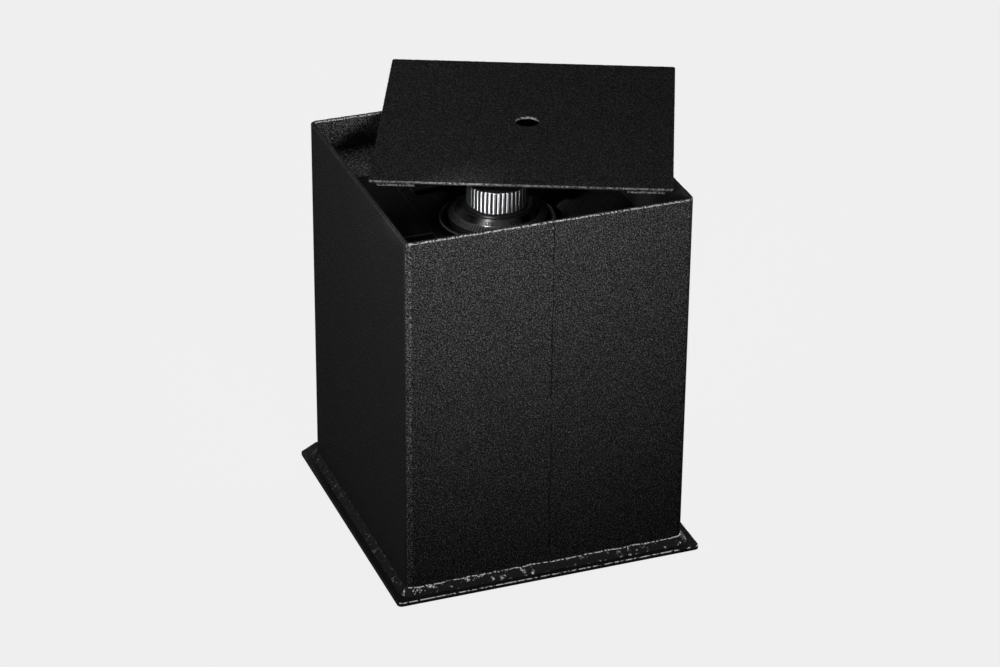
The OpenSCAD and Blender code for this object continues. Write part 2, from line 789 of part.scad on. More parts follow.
module cover_plate() color(paint)
    cover_place() linear_extrude(cover_t) difference() {
        rounded_outline(body_w, body_w, cover_corner_r);
        circle(d = finger_hole_d);
    }

// Four tabs that keep a closed cover inside the rim
module cover_tabs() color(paint)
    cover_place() for (x = [-1, 1], y = [-1, 1])
        translate([x * (half - tab_side - tab_len / 2), y * (half - tab_end - tab_t / 2), -tab_h / 2])
            cube([tab_len, tab_t, tab_h], center = true);

body_shell();
seam_weld();
base_plate();
foot_weld();
deck_plate();
left_hinge_ledge();
right_hinge_block();
hinge_rod();
rod_collars();
door_stop();
door_plate();
at_dial() hard_plate();
at_dial() lock_case();
at_dial() lock_case_lid();
at_dial() lock_case_screws();
at_dial() dial_ring();
at_dial() dial_ring_screws();
at_dial() spindle_tube();
at_dial() front_bolt_guide();
at_dial() front_guide_screws();
at_dial() left_bolt_guide();
at_dial() right_bolt_guide();
at_dial() side_guide_screws();
at_dial() dial();
at_dial() dial_collar();
at_dial() dial_knob();
at_dial() knob_cap();
at_dial() spindle();
at_dial() drive_cam();
at_dial() wheel_1();
at_dial() wheel_2();
at_dial() wheel_3();
at_dial() bolt_carriage();
at_dial() front_bolts();
at_dial() front_bolt_screws();
at_dial() lock_bolt();
at_dial() lock_bolt_screws();
at_dial() fence_lever();
at_dial() lever_screw();
at_dial() left_bolt();
at_dial() left_drive_pin();
at_dial() right_bolt();
at_dial() right_drive_pin();
cover_plate();
cover_tabs();
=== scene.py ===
"""Looks of an in-floor safe: a painted, welded box with a sunk dial door and a loose dust cover."""

import math

import bmesh
import bpy
from mathutils import Matrix, Vector, noise


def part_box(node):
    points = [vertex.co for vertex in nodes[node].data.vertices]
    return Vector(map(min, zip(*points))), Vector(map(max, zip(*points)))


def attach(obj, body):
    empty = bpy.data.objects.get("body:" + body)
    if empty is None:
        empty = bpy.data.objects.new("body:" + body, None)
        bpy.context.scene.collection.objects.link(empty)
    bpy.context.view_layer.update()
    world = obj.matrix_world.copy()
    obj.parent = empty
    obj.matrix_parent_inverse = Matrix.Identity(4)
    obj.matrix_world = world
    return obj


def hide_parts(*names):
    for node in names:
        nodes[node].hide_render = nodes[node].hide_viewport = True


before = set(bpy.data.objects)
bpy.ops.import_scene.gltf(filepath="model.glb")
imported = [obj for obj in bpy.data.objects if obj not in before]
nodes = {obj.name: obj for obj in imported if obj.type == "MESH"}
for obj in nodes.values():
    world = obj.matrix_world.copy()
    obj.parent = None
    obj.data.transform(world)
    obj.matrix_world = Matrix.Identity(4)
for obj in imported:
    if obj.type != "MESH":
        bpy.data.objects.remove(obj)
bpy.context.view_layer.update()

# Lengths below are millimetres unless a name or comment says metres
MM = 0.001


def node_box(name):
    """Lowest and highest corner of a CAD node in millimetres."""
    low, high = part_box(name)
    return low / MM, high / MM


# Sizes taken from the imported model
shell_low, shell_high = node_box("body_shell")
base_low, base_high = node_box("base_plate")
weld_low, weld_high = node_box("foot_weld")
seam_low, seam_high = node_box("seam_weld")
ring_low, ring_high = node_box("dial_ring")
dial_low, dial_high = node_box("dial")
collar_low, collar_high = node_box("dial_collar")
knob_low, knob_high = node_box("dial_knob")
cap_low, cap_high = node_box("knob_cap")
cover_low, cover_high = node_box("cover_plate")
HALF = shell_high.x
BASE_HALF = base_high.x
RIM_Z = shell_high.z
COVER_CENTRE = (cover_low + cover_high) / 2
COVER_HALF = HALF

# Sizes that a node's box doesn't give
WALL = 4.8
CORNER_R = 8.0
BASE_CORNER_R = 5.0
BASE_CLIP_X, BASE_CLIP_Y, BASE_CLIP_R = 21.5, 14.5, 3.0
COVER_CORNER_R = 3.0
COVER_TURN = math.radians(-23.5)
COVER_HOLE_R = 12.5
TAB_LENGTH, TAB_THICK, TAB_DEEP = 38.0, 4.0, 6.0
TAB_SIDE, TAB_END = 8.0, 7.0
SPINDLE_BORE_R = 4.05
RING_BORE_R = 7.05
RING_WELL_R = 52.5


# Node helpers

# Sockets of a Mix node that blends colours
MIX_FIRST, MIX_SECOND, MIX_RESULT = 6, 7, 2

SPECULAR = "Specular IOR Level"

# The whole range of a factor, and the range where most values of a noise texture lie
UNIT = (0.0, 1.0)
MIDDLE = (0.3, 0.7)


def grey(tone):
    """A neutral colour of the given tone."""
    return (tone, tone, tone)


def new_material(name):
    """A node material, its shader, and coordinates in metres that stay with the piece."""
    material = bpy.data.materials.new(name)
    material.use_nodes = True
    shader = material.node_tree.nodes["Principled BSDF"]
    coords = add_node(material.node_tree, "ShaderNodeTexCoord").outputs["Object"]
    return material, shader, coords


def add_node(tree, kind, values=None, **settings):
    """A new shader node with its settings and the values of its input sockets."""
    node = tree.nodes.new(kind)
    for key, value in settings.items():
        setattr(node, key, value)
    for key, value in (values or {}).items():
        node.inputs[key].default_value = value
    return node


def link(source, target):
    """Joins an output socket to an input socket of the same node tree."""
    target.id_data.links.new(source, target)


def noise_node(coords, scale, detail=2.0, roughness=0.5, distortion=0.0):
    """Output of a noise texture whose scale is counts per metre."""
    values = {"Scale": scale, "Detail": detail, "Roughness": roughness, "Distortion": distortion}
    node = add_node(coords.id_data, "ShaderNodeTexNoise", values)
    link(coords, node.inputs["Vector"])
    return node.outputs["Fac"]


def remap(value, source, result):
    """Maps a value from one range to another, clamped."""
    values = {"From Min": source[0], "From Max": source[1], "To Min": result[0], "To Max": result[1]}
    node = add_node(value.id_data, "ShaderNodeMapRange", values)
    link(value, node.inputs["Value"])
    return node.outputs["Result"]


def maths(operation, first, second):
    """Output of a maths node on a socket and a socket or number."""
    node = add_node(first.id_data, "ShaderNodeMath", operation=operation)
    link(first, node.inputs[0])
    if isinstance(second, float):
        node.inputs[1].default_value = second
    else:
        link(second, node.inputs[1])
    return node.outputs["Value"]


def colour_mix(factor, dark, light):
    """Blends two colours, of which the first may be a socket, by a factor between 0 and 1."""
    node = add_node(factor.id_data, "ShaderNodeMix", {MIX_SECOND: (*light, 1.0)}, data_type="RGBA")
    link(factor, node.inputs["Factor"])
    if isinstance(dark, tuple):
        node.inputs[MIX_FIRST].default_value = (*dark, 1.0)
    else:
        link(dark, node.inputs[MIX_FIRST])
    return node.outputs[MIX_RESULT]


def surface(shader, tone, gloss, values):
    """Joins a colour and a roughness to the shader, and sets the inputs that keep one value."""
    link(tone, shader.inputs["Base Color"])
    link(gloss, shader.inputs["Roughness"])
    for key, value in values.items():
        shader.inputs[key].default_value = value


def bump(shader, height, strength, depth_mm):
    """Drives the shader's normal from a height."""
    node = add_node(shader.id_data, "ShaderNodeBump", {"Strength": strength, "Distance": depth_mm * MM})
    link(height, node.inputs["Height"])
    link(node.outputs["Normal"], shader.inputs["Normal"])


# Materials

# Share of the fine grain in the height of the paint
GRAIN_SHARE = 0.3
GLOSS_SWING = 0.08
WORN_GROUND = (0.016, 0.016, 0.0165)
QUARTER_TURN = 0.25


def hammertone(name, valley, ridge, roughness=0.6, specular=0.002):
    """Black textured paint: thin raised lines, lighter than the ground between them; each copy sets that
    contrast for how light falls on its faces, as painted light.
    """
    material, shader, coords = new_material(name)
    waves = noise_node(coords, scale=760.0, detail=0.0, distortion=0.5)
    lines = maths("POWER", remap(waves, (0.4, 0.76), UNIT), 1.4)
    grain = noise_node(coords, scale=1100.0)
    clouds = noise_node(coords, scale=14.0, detail=3.0)
    height = maths("ADD", lines, maths("MULTIPLY", grain, GRAIN_SHARE))
    bump(shader, height, strength=1.0, depth_mm=0.15)
    shade = maths("MULTIPLY", lines, remap(grain, MIDDLE, (0.35, 1.0)))
    shade = maths("MULTIPLY", shade, remap(clouds, MIDDLE, (0.88, 1.0)))
    tone = colour_mix(shade, grey(valley), grey(ridge))
    gloss = remap(lines, UNIT, (roughness + GLOSS_SWING, roughness - GLOSS_SWING))
    surface(shader, tone, gloss, {SPECULAR: specular})
    return material


def worn_paint(name, rub, bare, specular, shines=False, scale=340.0):
    """The paint on an edge, lighter in short runs: rubbed-through wear, and on the edges that face the
    light also a painted highlight; the runs may shine like metal.
    """
    material, shader, coords = new_material(name)
    runs = noise_node(coords, scale)
    grain = noise_node(coords, scale=900.0)
    rubbed_and_lit = remap(runs, rub, UNIT)
    shade = maths("MULTIPLY", rubbed_and_lit, remap(grain, MIDDLE, (0.6, 1.0)))
    tone = colour_mix(shade, WORN_GROUND, grey(bare))
    surface(shader, tone, remap(rubbed_and_lit, UNIT, (0.5, 0.3)), {SPECULAR: specular})
    if shines:
        link(rubbed_and_lit, shader.inputs["Metallic"])
    height = maths("ADD", runs, maths("MULTIPLY", grain, GRAIN_SHARE))
    bump(shader, height, strength=0.8, depth_mm=0.3)
    return material


def weld_paint(name, lump_scale, chip, tones, specular):
    """The same paint pooled over a weld bead, knocked off its highest lumps: the bright metal chips are
    partly wear, partly painted glints.
    """
    material, shader, coords = new_material(name)
    ripples = noise_node(coords, scale=520.0, detail=3.0, roughness=0.6)
    lumps = noise_node(coords, lump_scale, roughness=0.6)
    chips_and_glints = remap(lumps, chip, UNIT)
    chips_and_glints = maths("MULTIPLY", chips_and_glints, remap(ripples, (0.45, 0.6), (0.1, 1.0)))
    low_tone, high_tone, bare_tone = tones
    tone = colour_mix(ripples, grey(low_tone), grey(high_tone))
    tone = colour_mix(chips_and_glints, tone, grey(bare_tone))
    surface(shader, tone, remap(ripples, MIDDLE, (0.3, 0.45)), {SPECULAR: specular})
    link(chips_and_glints, shader.inputs["Metallic"])
    bump(shader, ripples, strength=0.8, depth_mm=0.5)
    return material


def metal(name, colour, roughness, grain_scale, grain_depth_mm):
    """Plain metal with a fine grain in its gloss and surface."""
    material, shader, coords = new_material(name)
    grain = noise_node(coords, grain_scale, detail=4.0, roughness=0.6)
    dull = tuple(0.82 * c for c in colour)
    gloss = remap(grain, MIDDLE, (roughness * 0.8, roughness * 1.25))
    surface(shader, colour_mix(grain, dull, colour), gloss, {"Metallic": 1.0})
    bump(shader, grain, strength=0.3, depth_mm=grain_depth_mm)
    return material


def spun_metal(name, colour, roughness, stretch):
    """Satin metal turned on a lathe about the dial axis: fine rings and a fan-shaped sheen."""
    material, shader, coords = new_material(name)
    tree = material.node_tree
    parts = add_node(tree, "ShaderNodeSeparateXYZ")
    link(coords, parts.inputs["Vector"])
    squares = [maths("POWER", parts.outputs[axis], 2.0) for axis in ("X", "Y")]
    radius = maths("SQRT", maths("ADD", *squares), 0.0)
    rings = add_node(tree, "ShaderNodeTexNoise", {"Scale": 2600.0, "Detail": 2.0}, noise_dimensions="1D")
    link(radius, rings.inputs["W"])
    clouds = noise_node(coords, scale=60.0, detail=3.0)
    dull = tuple(0.7 * c for c in colour)
    gloss = remap(rings.outputs["Fac"], MIDDLE, (roughness * 0.8, roughness * 1.3))
    values = {"Metallic": 1.0, "Anisotropic": stretch, "Anisotropic Rotation": QUARTER_TURN}
    surface(shader, colour_mix(clouds, dull, colour), gloss, values)
    tangent = add_node(tree, "ShaderNodeTangent", direction_type="RADIAL", axis="Z")
    link(tangent.outputs["Tangent"], shader.inputs["Tangent"])
    bump(shader, rings.outputs["Fac"], strength=0.25, depth_mm=0.02)
    return material


def enamel(name, colour, roughness, specular):
    """Smooth paint or plastic with a faint mottling."""
    material, shader, coords = new_material(name)
    mottle = noise_node(coords, scale=900.0, detail=3.0)
    light = tuple(1.4 * c for c in colour)
    gloss = remap(mottle, MIDDLE, (roughness * 0.85, roughness * 1.2))
    surface(shader, colour_mix(mottle, colour, light), gloss, {SPECULAR: specular})
    bump(shader, mottle, strength=0.15, depth_mm=0.03)
    return material


# Lit and shaded copies of one paint: the key-lit copy's light ridges stand for the key light's sparkle on
# the front, the side and cover copies have weak ridges as painted shade for faces under soft light, and the
# back copy lies between.
KEY_LIT_PAINT = hammertone("hammertone_paint", valley=0.014, ridge=0.21)
SIDE_SHADED_PAINT = hammertone("side_shaded_copy", valley=0.03, ridge=0.074)
COVER_SHADED_PAINT = hammertone("cover_shaded_copy", valley=0.011, ridge=0.098)
BACK_PAINT = hammertone("back_paint", valley=0.016, ridge=0.13)
# A much lighter copy for the box's front left corner: a painted highlight of the left lamp's sheen down the
# rounded corner.
CORNER_HIGHLIGHT_PAINT = hammertone("corner_painted_highlight", valley=0.02, ridge=0.33, roughness=0.5, specular=0.005)
# Lighter edge paints: wear, and where they lie only on edges that face the light, painted highlights; the
# rim's front edge takes the strongest, its other edges a faint one.
WORN_LIT_EDGE = worn_paint("worn_lit_edge", rub=(0.44, 0.54), bare=0.6, specular=0.2, scale=480.0)
HOLE_WORN_LIT_EDGE = worn_paint("hole_worn_lit_wall", rub=(0.35, 0.6), bare=0.5, specular=0.1)
FOOT_WORN_LIT_EDGE = worn_paint("foot_worn_lit_edge", rub=(0.42, 0.52), bare=0.55, specular=0.05, shines=True)
COVER_WORN_LIT_EDGE = worn_paint("cover_worn_lit_edge", rub=(0.4, 0.58), bare=0.22, specular=0.1, scale=480.0)
EDGE_PAINT = worn_paint("edge_paint", rub=(0.44, 0.6), bare=0.17, specular=0.02)
RIM_WORN_LIT_PAINT = worn_paint("rim_worn_lit_edge", rub=(0.3, 0.7), bare=0.08, specular=0.01)
INNER_WORN_LIT_EDGE = worn_paint("inner_worn_lit_edge", rub=(0.2, 0.5), bare=0.5, specular=0.02)
# Near-black paint on the hinge rod and its collars: painted shade, so they sit dark in the hinge pocket.
POCKET_SHADE_BLACK = enamel("pocket_shade_black", grey(0.01), roughness=0.5, specular=0.05)
# Front and side copies of the weld paint: the front copy's many bright chips are partly painted glints for
# the light on the front, the side copy's chips fewer and duller.
FRONT_TONES, SIDE_TONES = (0.008, 0.07, 0.62), (0.015, 0.062, 0.25)
WELD_PAINT = weld_paint("painted_weld", 150.0, chip=(0.57, 0.65), tones=FRONT_TONES, specular=0.05)
SIDE_WELD = weld_paint("side_weld", 300.0, chip=(0.6, 0.7), tones=SIDE_TONES, specular=0.01)
STEEL = metal("bare_steel", (0.42, 0.42, 0.43), roughness=0.36, grain_scale=700.0, grain_depth_mm=0.02)
CHROME = spun_metal("chrome", (0.52, 0.525, 0.535), roughness=0.46, stretch=0.97)
SATIN = spun_metal("satin_dial", (0.13, 0.13, 0.133), roughness=0.36, stretch=0.95)
# A darker copy of the satin: painted shade on the collar under the knob.
SHADED_SATIN = spun_metal("satin_shaded_copy", (0.055, 0.055, 0.057), roughness=0.5, stretch=0.9)
TURNED_EDGE = enamel("turned_edge", (0.1, 0.1, 0.102), roughness=0.5, specular=0.05)
TICK_BAND = enamel("tick_band", (0.034, 0.034, 0.0345), roughness=0.5, specular=0.02)
# Near-black paint: painted shade in the seam's groove, the black fill of the dial's marks, and the dial's
# underside and outer side.
SHADE_AND_BLACK_FILL = enamel("undercut", grey(0.007), roughness=0.8, specular=0.0)
FIGURES = enamel("black_figures", grey(0.006), roughness=0.45, specular=0.3)
CAP_BLACK = enamel("cap_black", grey(0.007), roughness=0.4, specular=0.3)
BRASS = metal("brass", (0.62, 0.42, 0.16), roughness=0.3, grain_scale=500.0, grain_depth_mm=0.015)
BARE_DROP = metal("bare_weld", (0.6, 0.6, 0.61), roughness=0.3, grain_scale=600.0, grain_depth_mm=0.03)
ZINC = metal("zinc_casting", (0.36, 0.36, 0.35), roughness=0.5, grain_scale=1500.0, grain_depth_mm=0.012)
RUBBER = enamel("rubber", grey(0.015), roughness=0.7, specular=0.3)


# Mesh helpers

# Cosines that tell which way a station of a swept outline looks
FACING = 0.7
CORNER_LEFT, CORNER_TURNED = 0.25, 0.42
# Share of an edge's raggedness that goes into its height
RAGGED_LIFT = 0.6


def add_object(name, data):
    """A new object in the scene."""
    thing = bpy.data.objects.new(name, data)
    bpy.context.scene.collection.objects.link(thing)
    return thing


def make_piece(name, points, faces, materials, body, replaced, indices=None, sharp_deg=35.0):
    """Makes a smooth-shaded mesh from points in millimetres and puts it on its CAD body."""
    mesh = bpy.data.meshes.new(name)
    mesh.from_pydata([tuple(c * MM for c in p) for p in points], [], faces)
    for material in materials:
        mesh.materials.append(material)
    if indices:
        mesh.polygons.foreach_set("material_index", indices)
    mesh.polygons.foreach_set("use_smooth", [True] * len(mesh.polygons))
    mesh.set_sharp_from_angle(angle=math.radians(sharp_deg))
    mesh.update()
    piece = add_object(name, mesh)
    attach(piece, body)
    if replaced:
        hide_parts(*replaced)
    flat = piece.modifiers.new("flat_faces", "WEIGHTED_NORMAL")
    flat.keep_sharp = True


def front_facing(station):
    """True on the side of a swept square that looks to its front."""
    return station[3] < -FACING


def left_corner(station):
    """True on the rounded corners of a swept square's left side, where the box takes its painted corner
    highlight.
    """
    return station[2] < -CORNER_LEFT and abs(station[3]) > CORNER_TURNED


def ring_faces(rows, count, closed_rows=False):
    """Quads between rows of points that each go once round."""
    faces = []
    last = rows if closed_rows else rows - 1
    for i in range(last):
        for k in range(count):
            a, b = i * count, (i + 1) % rows * count
            n = (k + 1) % count
            faces.append((a + k, a + n, b + n, b + k))
    return faces


def capped_faces(rows, count):
    """Quads between rows of points, then a face below the first row and one above the last."""
    top = (rows - 1) * count
    return ring_faces(rows, count) + [tuple(reversed(range(count))), tuple(range(top, top + count))]


def rounded_bar(half_x, half_y, radius, step, corner_steps):
    """Stations round a rounded rectangle, anticlockwise: (x, y, normal x, normal y)."""
    stations = []
    for side in range(4):
        turn = side * math.pi / 2
        c, s = math.cos(turn), math.sin(turn)
        reach, half_run = (half_x, half_y - radius) if side % 2 == 0 else (half_y, half_x - radius)
        count = max(2, round(2 * half_run / step))
        local = [(reach, -half_run + 2 * half_run * k / count, 1.0, 0.0) for k in range(count)]
        for k in range(corner_steps):
            a = math.pi / 2 * k / corner_steps
            local.append((reach - radius + radius * math.cos(a), half_run + radius * math.sin(a),
                          math.cos(a), math.sin(a)))
        for x, y, nx, ny in local:
            stations.append((c * x - s * y, s * x + c * y, c * nx - s * ny, s * nx + c * ny))
    return stations


def rounded_polygon(corners, radii, step, corner_steps=6):
    """Stations round a convex polygon with rounded corners, anticlockwise, as rounded_bar gives them."""
    stations = []
    sides = len(corners)
    for i, radius in enumerate(radii):
        before, corner, after = corners[i - 1], corners[i], corners[(i + 1) % sides]
        arrive = (corner - before).normalized()
        leave = (after - corner).normalized()
        normal = Vector((arrive.y, -arrive.x))
        bend = math.atan2(arrive.x * leave.y - arrive.y * leave.x, arrive.dot(leave))
        setback = radius * math.tan(bend / 2)
        centre = corner - arrive * setback - normal * radius
        first = math.atan2(normal.y, normal.x)
        for k in range(corner_steps):
            a = first + bend * k / corner_steps
            stations.append((centre.x + radius * math.cos(a), centre.y + radius * math.sin(a),
                             math.cos(a), math.sin(a)))
        next_arrive = (corners[(i + 2) % sides] - after).normalized()
        next_bend = math.atan2(leave.x * next_arrive.y - leave.y * next_arrive.x, leave.dot(next_arrive))
        start = corner + leave * setback
        end = after - leave * radii[(i + 1) % sides] * math.tan(next_bend / 2)
        out = Vector((leave.y, -leave.x))
        count = max(2, round((end - start).length / step))
        for k in range(count):
            place = start.lerp(end, k / count)
            stations.append((place.x, place.y, out.x, out.y))
    return stations


def wobble(x, y, z, wavelength, seed=0.0):
    """Smooth noise between about -1 and 1 with the given wavelength."""
    return noise.noise(Vector((x / wavelength + seed, y / wavelength, z / wavelength)))


def quarter(centre_in, centre_z, radius, start_deg, end_deg, steps):
    """Arc of a section as (inward offset, height) points."""
    arc = []
    for k in range(steps + 1):
        a = math.radians(start_deg + (end_deg - start_deg) * k / steps)
        arc.append((centre_in + radius * math.cos(a), centre_z + radius * math.sin(a)))
    return arc


def plate_section(low, high, edge):
    """Outer section of a plate with rounded edges, from its underside to its top."""
    section = quarter(edge, low + edge, edge, 270.0, 180.0, 3)
    section += quarter(edge, high - edge, edge, 180.0, 90.0, 3)
    return section


def sweep(stations, section, wear_mm, wear_length, wear_from_z):
    """Points of a section of (inward offset, height) carried round; edges above a height are worn."""
    points = []
    for inward, z in section:
        for x, y, nx, ny in stations:
            px, py = x - nx * inward, y - ny * inward
            ragged = wear_mm * wobble(px, py, z, wear_length) if z >= wear_from_z else 0.0
            points.append((px + nx * ragged, py + ny * ragged, z + RAGGED_LIFT * ragged))
    return points


# Box shell and base plate


def build_shell():
    """Square tube with lit and shaded copies of one paint on its faces, and rim edges lightened as wear
    with a painted highlight, strongest at the front.
    """
    stations = rounded_bar(HALF, HALF, CORNER_R, step=1.0, corner_steps=8)
    edge, worn_deep = 1.3, 2.0
    upper_rows, inner_row = (12.0, 4.0), 6.0
    top = RIM_Z - edge
    section = [(0.0, shell_low.z)]
    section += [(0.0, RIM_Z - down) for down in upper_rows]
    outer_first = len(section)
    section += quarter(edge, top, edge, 180.0, 90.0, 5)
    outer_last = len(section) - 1
    section += quarter(WALL - edge, top, edge, 90.0, 0.0, 4)
    inner_last = len(section) - 1
    section += [(WALL, RIM_Z - inner_row), (WALL, shell_low.z)]
    points = sweep(stations, section, wear_mm=0.3, wear_length=4.0, wear_from_z=RIM_Z - worn_deep)
    faces = ring_faces(len(section), len(stations), closed_rows=True)
    materials = [KEY_LIT_PAINT, WORN_LIT_EDGE, RIM_WORN_LIT_PAINT, CORNER_HIGHLIGHT_PAINT, SIDE_SHADED_PAINT, BACK_PAINT]
    plain, worn_and_lit, rim, corner, side, rear = range(len(materials))
    indices = []
    # Outer faces: the key-lit copy at the front, the painted corner highlight, the shaded copy on the left
    # and the back copy elsewhere. Outer rim edge: the worn and lit paint at the front, the faint one
    # elsewhere. The back wall's inner rim edge, which faces the front, takes the worn and lit paint and its
    # inner face the key-lit copy: painted highlights and painted light where the key falls.
    for row in range(len(section)):
        for station in stations:
            at_front = front_facing(station)
            if outer_first <= row < outer_last:
                indices.append(worn_and_lit if at_front else rim)
            elif row < outer_first and left_corner(station):
                indices.append(corner)
            elif row < outer_first and not at_front:
                indices.append(side if station[2] < -FACING else rear)
            elif row > outer_last and station[3] > FACING:
                indices.append(worn_and_lit if row < inner_last else plain)
            elif row >= outer_last and not at_front:
                indices.append(side)
            else:
                indices.append(plain)
    make_piece("box_shell", points, faces, materials, "safe_body",
               ["body_shell"], indices)


def build_base():
    """Base plate with its two back corners clipped."""
    side, back = BASE_HALF, base_high.y
    right_half = [(side, -side), (side, back - BASE_CLIP_Y), (side - BASE_CLIP_X, back)]
    left_half = [(-x, y) for x, y in reversed(right_half)]
    corners = [Vector(c) for c in right_half + left_half]
    radii = [BASE_CORNER_R] + [BASE_CLIP_R] * 4 + [BASE_CORNER_R]
    stations = rounded_polygon(corners, radii, step=1.5)
    edge, worn_deep, margin = 0.9, 1.0, 2.5
    section = plate_section(base_low.z, base_high.z, edge)
    sides = sweep(stations, section, wear_mm=0.2, wear_length=5.0, wear_from_z=base_high.z - worn_deep)
    bottom = [(x - margin * nx, y - margin * ny, base_low.z) for x, y, nx, ny in stations]
    top = [(x - margin * nx, y - margin * ny, base_high.z) for x, y, nx, ny in stations]
    points = bottom + sides + top
    count = len(stations)
    rows = len(section) + 2
    faces = capped_faces(rows, count)
    materials = [SIDE_SHADED_PAINT, FOOT_WORN_LIT_EDGE, RIM_WORN_LIT_PAINT]
    plain, worn_and_lit, rim = range(len(materials))
    # The front upper edge takes the shining worn and lit paint, the other upper edges the faint one: wear
    # with a painted highlight along the front edge.
    upper_edge_rows = range(rows - 5, rows - 2)
    indices = []
    for row in range(rows - 1):
        for station in stations:
            edge_tone = worn_and_lit if front_facing(station) else rim
            indices.append(edge_tone if row in upper_edge_rows else plain)
    make_piece("foot_plate", points, faces, materials, "safe_body",
               ["base_plate"], indices + [plain, plain])


# Weld beads


def build_foot_weld():
    """Lumpy fillet bead whose toes roll over on the wall and on the base plate."""
    stations = rounded_bar(HALF, HALF, CORNER_R, step=1.2, corner_steps=12)
    leg = weld_high.x - HALF
    floor_z = weld_low.z
    wall_sink, floor_sink = 0.05, 0.02
    shape = [(0.0, 1.18), (0.1, 1.16), (0.2, 1.06), (0.3, 0.86), (0.44, 0.66), (0.6, 0.5), (0.78, 0.36),
             (0.96, 0.24), (1.08, 0.13), (1.14, 0.0)]
    points = []
    for row, (out, up) in enumerate(shape):
        share = row / (len(shape) - 1)
        inside = math.sin(math.pi * share)
        for x, y, nx, ny in stations:
            swell = 1.0 + 0.16 * wobble(x, y, 0.0, wavelength=26.0, seed=3.1)
            swell += 0.10 * wobble(x, y, 0.0, wavelength=8.0, seed=7.7)
            lump = 0.55 * wobble(x, y, share * 6.0, wavelength=4.2, seed=1.3)
            lump += 0.3 * wobble(x, y, share * 9.0, wavelength=2.2, seed=5.9)
            wall_toe = (1.0 - share) * 0.9 * wobble(x, y, 0.0, wavelength=11.0, seed=9.2)
            d = leg * out * swell + lump * inside * 0.7 - wall_sink
            h = leg * up * swell + lump * inside + (wall_toe if up > 0.0 else 0.0)
            points.append((x + nx * d, y + ny * d, floor_z + max(h, 0.0) - floor_sink))
    points += [(x - nx * wall_sink, y - ny * wall_sink, floor_z - floor_sink) for x, y, nx, ny in stations]
    rows = len(shape) + 1
    faces = [tuple(reversed(f)) for f in ring_faces(rows, len(stations), closed_rows=True)]
    materials = [WELD_PAINT, FOOT_WORN_LIT_EDGE, SIDE_WELD]
    front_bead, wall_edge, side_bead = range(len(materials))
    # The front bead's toe on the wall takes the shining worn and lit paint: wear with a painted highlight
    # along the toe.
    front_part, wall_rows = -0.3, 2
    indices = []
    for row in range(rows):
        for station in stations:
            if station[3] >= front_part:
                indices.append(side_bead)
            elif row < wall_rows and front_facing(station):
                indices.append(wall_edge)
            else:
                indices.append(front_bead)
    make_piece("foot_bead", points, faces, materials, "safe_body",
               ["foot_weld"], indices, sharp_deg=60.0)


def build_seam():
    """Ragged butt weld: a low ground bead, an undercut groove painted near-black in stretches as painted
    shade, and a thin lip right of it.
    """
    low_gap, high_gap, step = 0.5, 0.6, 1.6
    skin, root = 0.005, 0.2
    low, high = seam_low.z + low_gap, seam_high.z - high_gap
    rows = round((high - low) / step)
    across = [-4.6, -3.4, -2.2, -1.0, 0.2, 1.1, 1.6, 1.9, 2.3, 2.6, 3.1, 3.9, 4.8]
    heights = [0.0, 0.14, 0.34, 0.44, 0.48, 0.5, 0.46, 0.03, 0.03, 0.3, 0.34, 0.2, 0.0]
    shaded_columns = range(6, 9)
    plain, dark = range(2)
    count = len(across) + 2
    points, indices = [], []
    for i in range(rows + 1):
        z = low + (high - low) * i / rows
        share = (z - low) / (high - low)
        drift = 1.8 * wobble(0.0, 0.0, z, wavelength=60.0, seed=2.0)
        drift += 1.3 * wobble(0.0, 0.0, z, wavelength=12.0, seed=4.0)
        show = 0.55 + 0.45 * share
        for x, h in zip(across, heights):
            stray = 0.5 if h == 0.0 else 0.2
            edge_x = x + drift + stray * wobble(x, 0.0, z, wavelength=5.0, seed=6.0)
            rise = h * show * (1.0 + 0.5 * wobble(x, 0.0, z, wavelength=4.0, seed=8.0))
            points.append((edge_x, -HALF - max(rise, 0.0) - skin, z))
        for x in (across[-1], across[0]):
            points.append((x + drift, root - HALF, z))
        # Stretches where the groove's faces take near-black paint: painted shade in the groove.
        undercut = wobble(0.0, 0.0, z, wavelength=9.0, seed=9.5) > 0.1 - 0.6 * share
        if i < rows:
            indices += [dark if undercut and k in shaded_columns else plain for k in range(count)]
    faces = capped_faces(rows + 1, count)
    make_piece("seam_bead", points, faces, [KEY_LIT_PAINT, SHADE_AND_BLACK_FILL], "safe_body",
               ["seam_weld"], indices + [plain, plain], sharp_deg=75.0)


def add_drop(points, faces, middle, up, radius):
    """Adds a closed dome on a surface, a little flatter than a half ball."""
    turns, levels, flat = 10, 4, 0.9
    across = Vector((1.0, 0.0, 0.0))
    side = up.cross(across)
    start = len(points)
    for j in range(levels):
        a = math.pi / 2 * j / levels
        for k in range(turns):
            t = 2 * math.pi * k / turns
            spoke = across * math.cos(t) + side * math.sin(t)
            place = middle + spoke * (radius * math.cos(a)) + up * (flat * radius * math.sin(a))
            points.append(tuple(place))
    tip = len(points)
    points.append(tuple(middle + up * (flat * radius)))
    faces += [tuple(start + i for i in f) for f in ring_faces(levels, turns)]
    last = start + (levels - 1) * turns
    faces += [(last + k, last + (k + 1) % turns, tip) for k in range(turns)]
    faces.append(tuple(start + k for k in reversed(range(turns))))


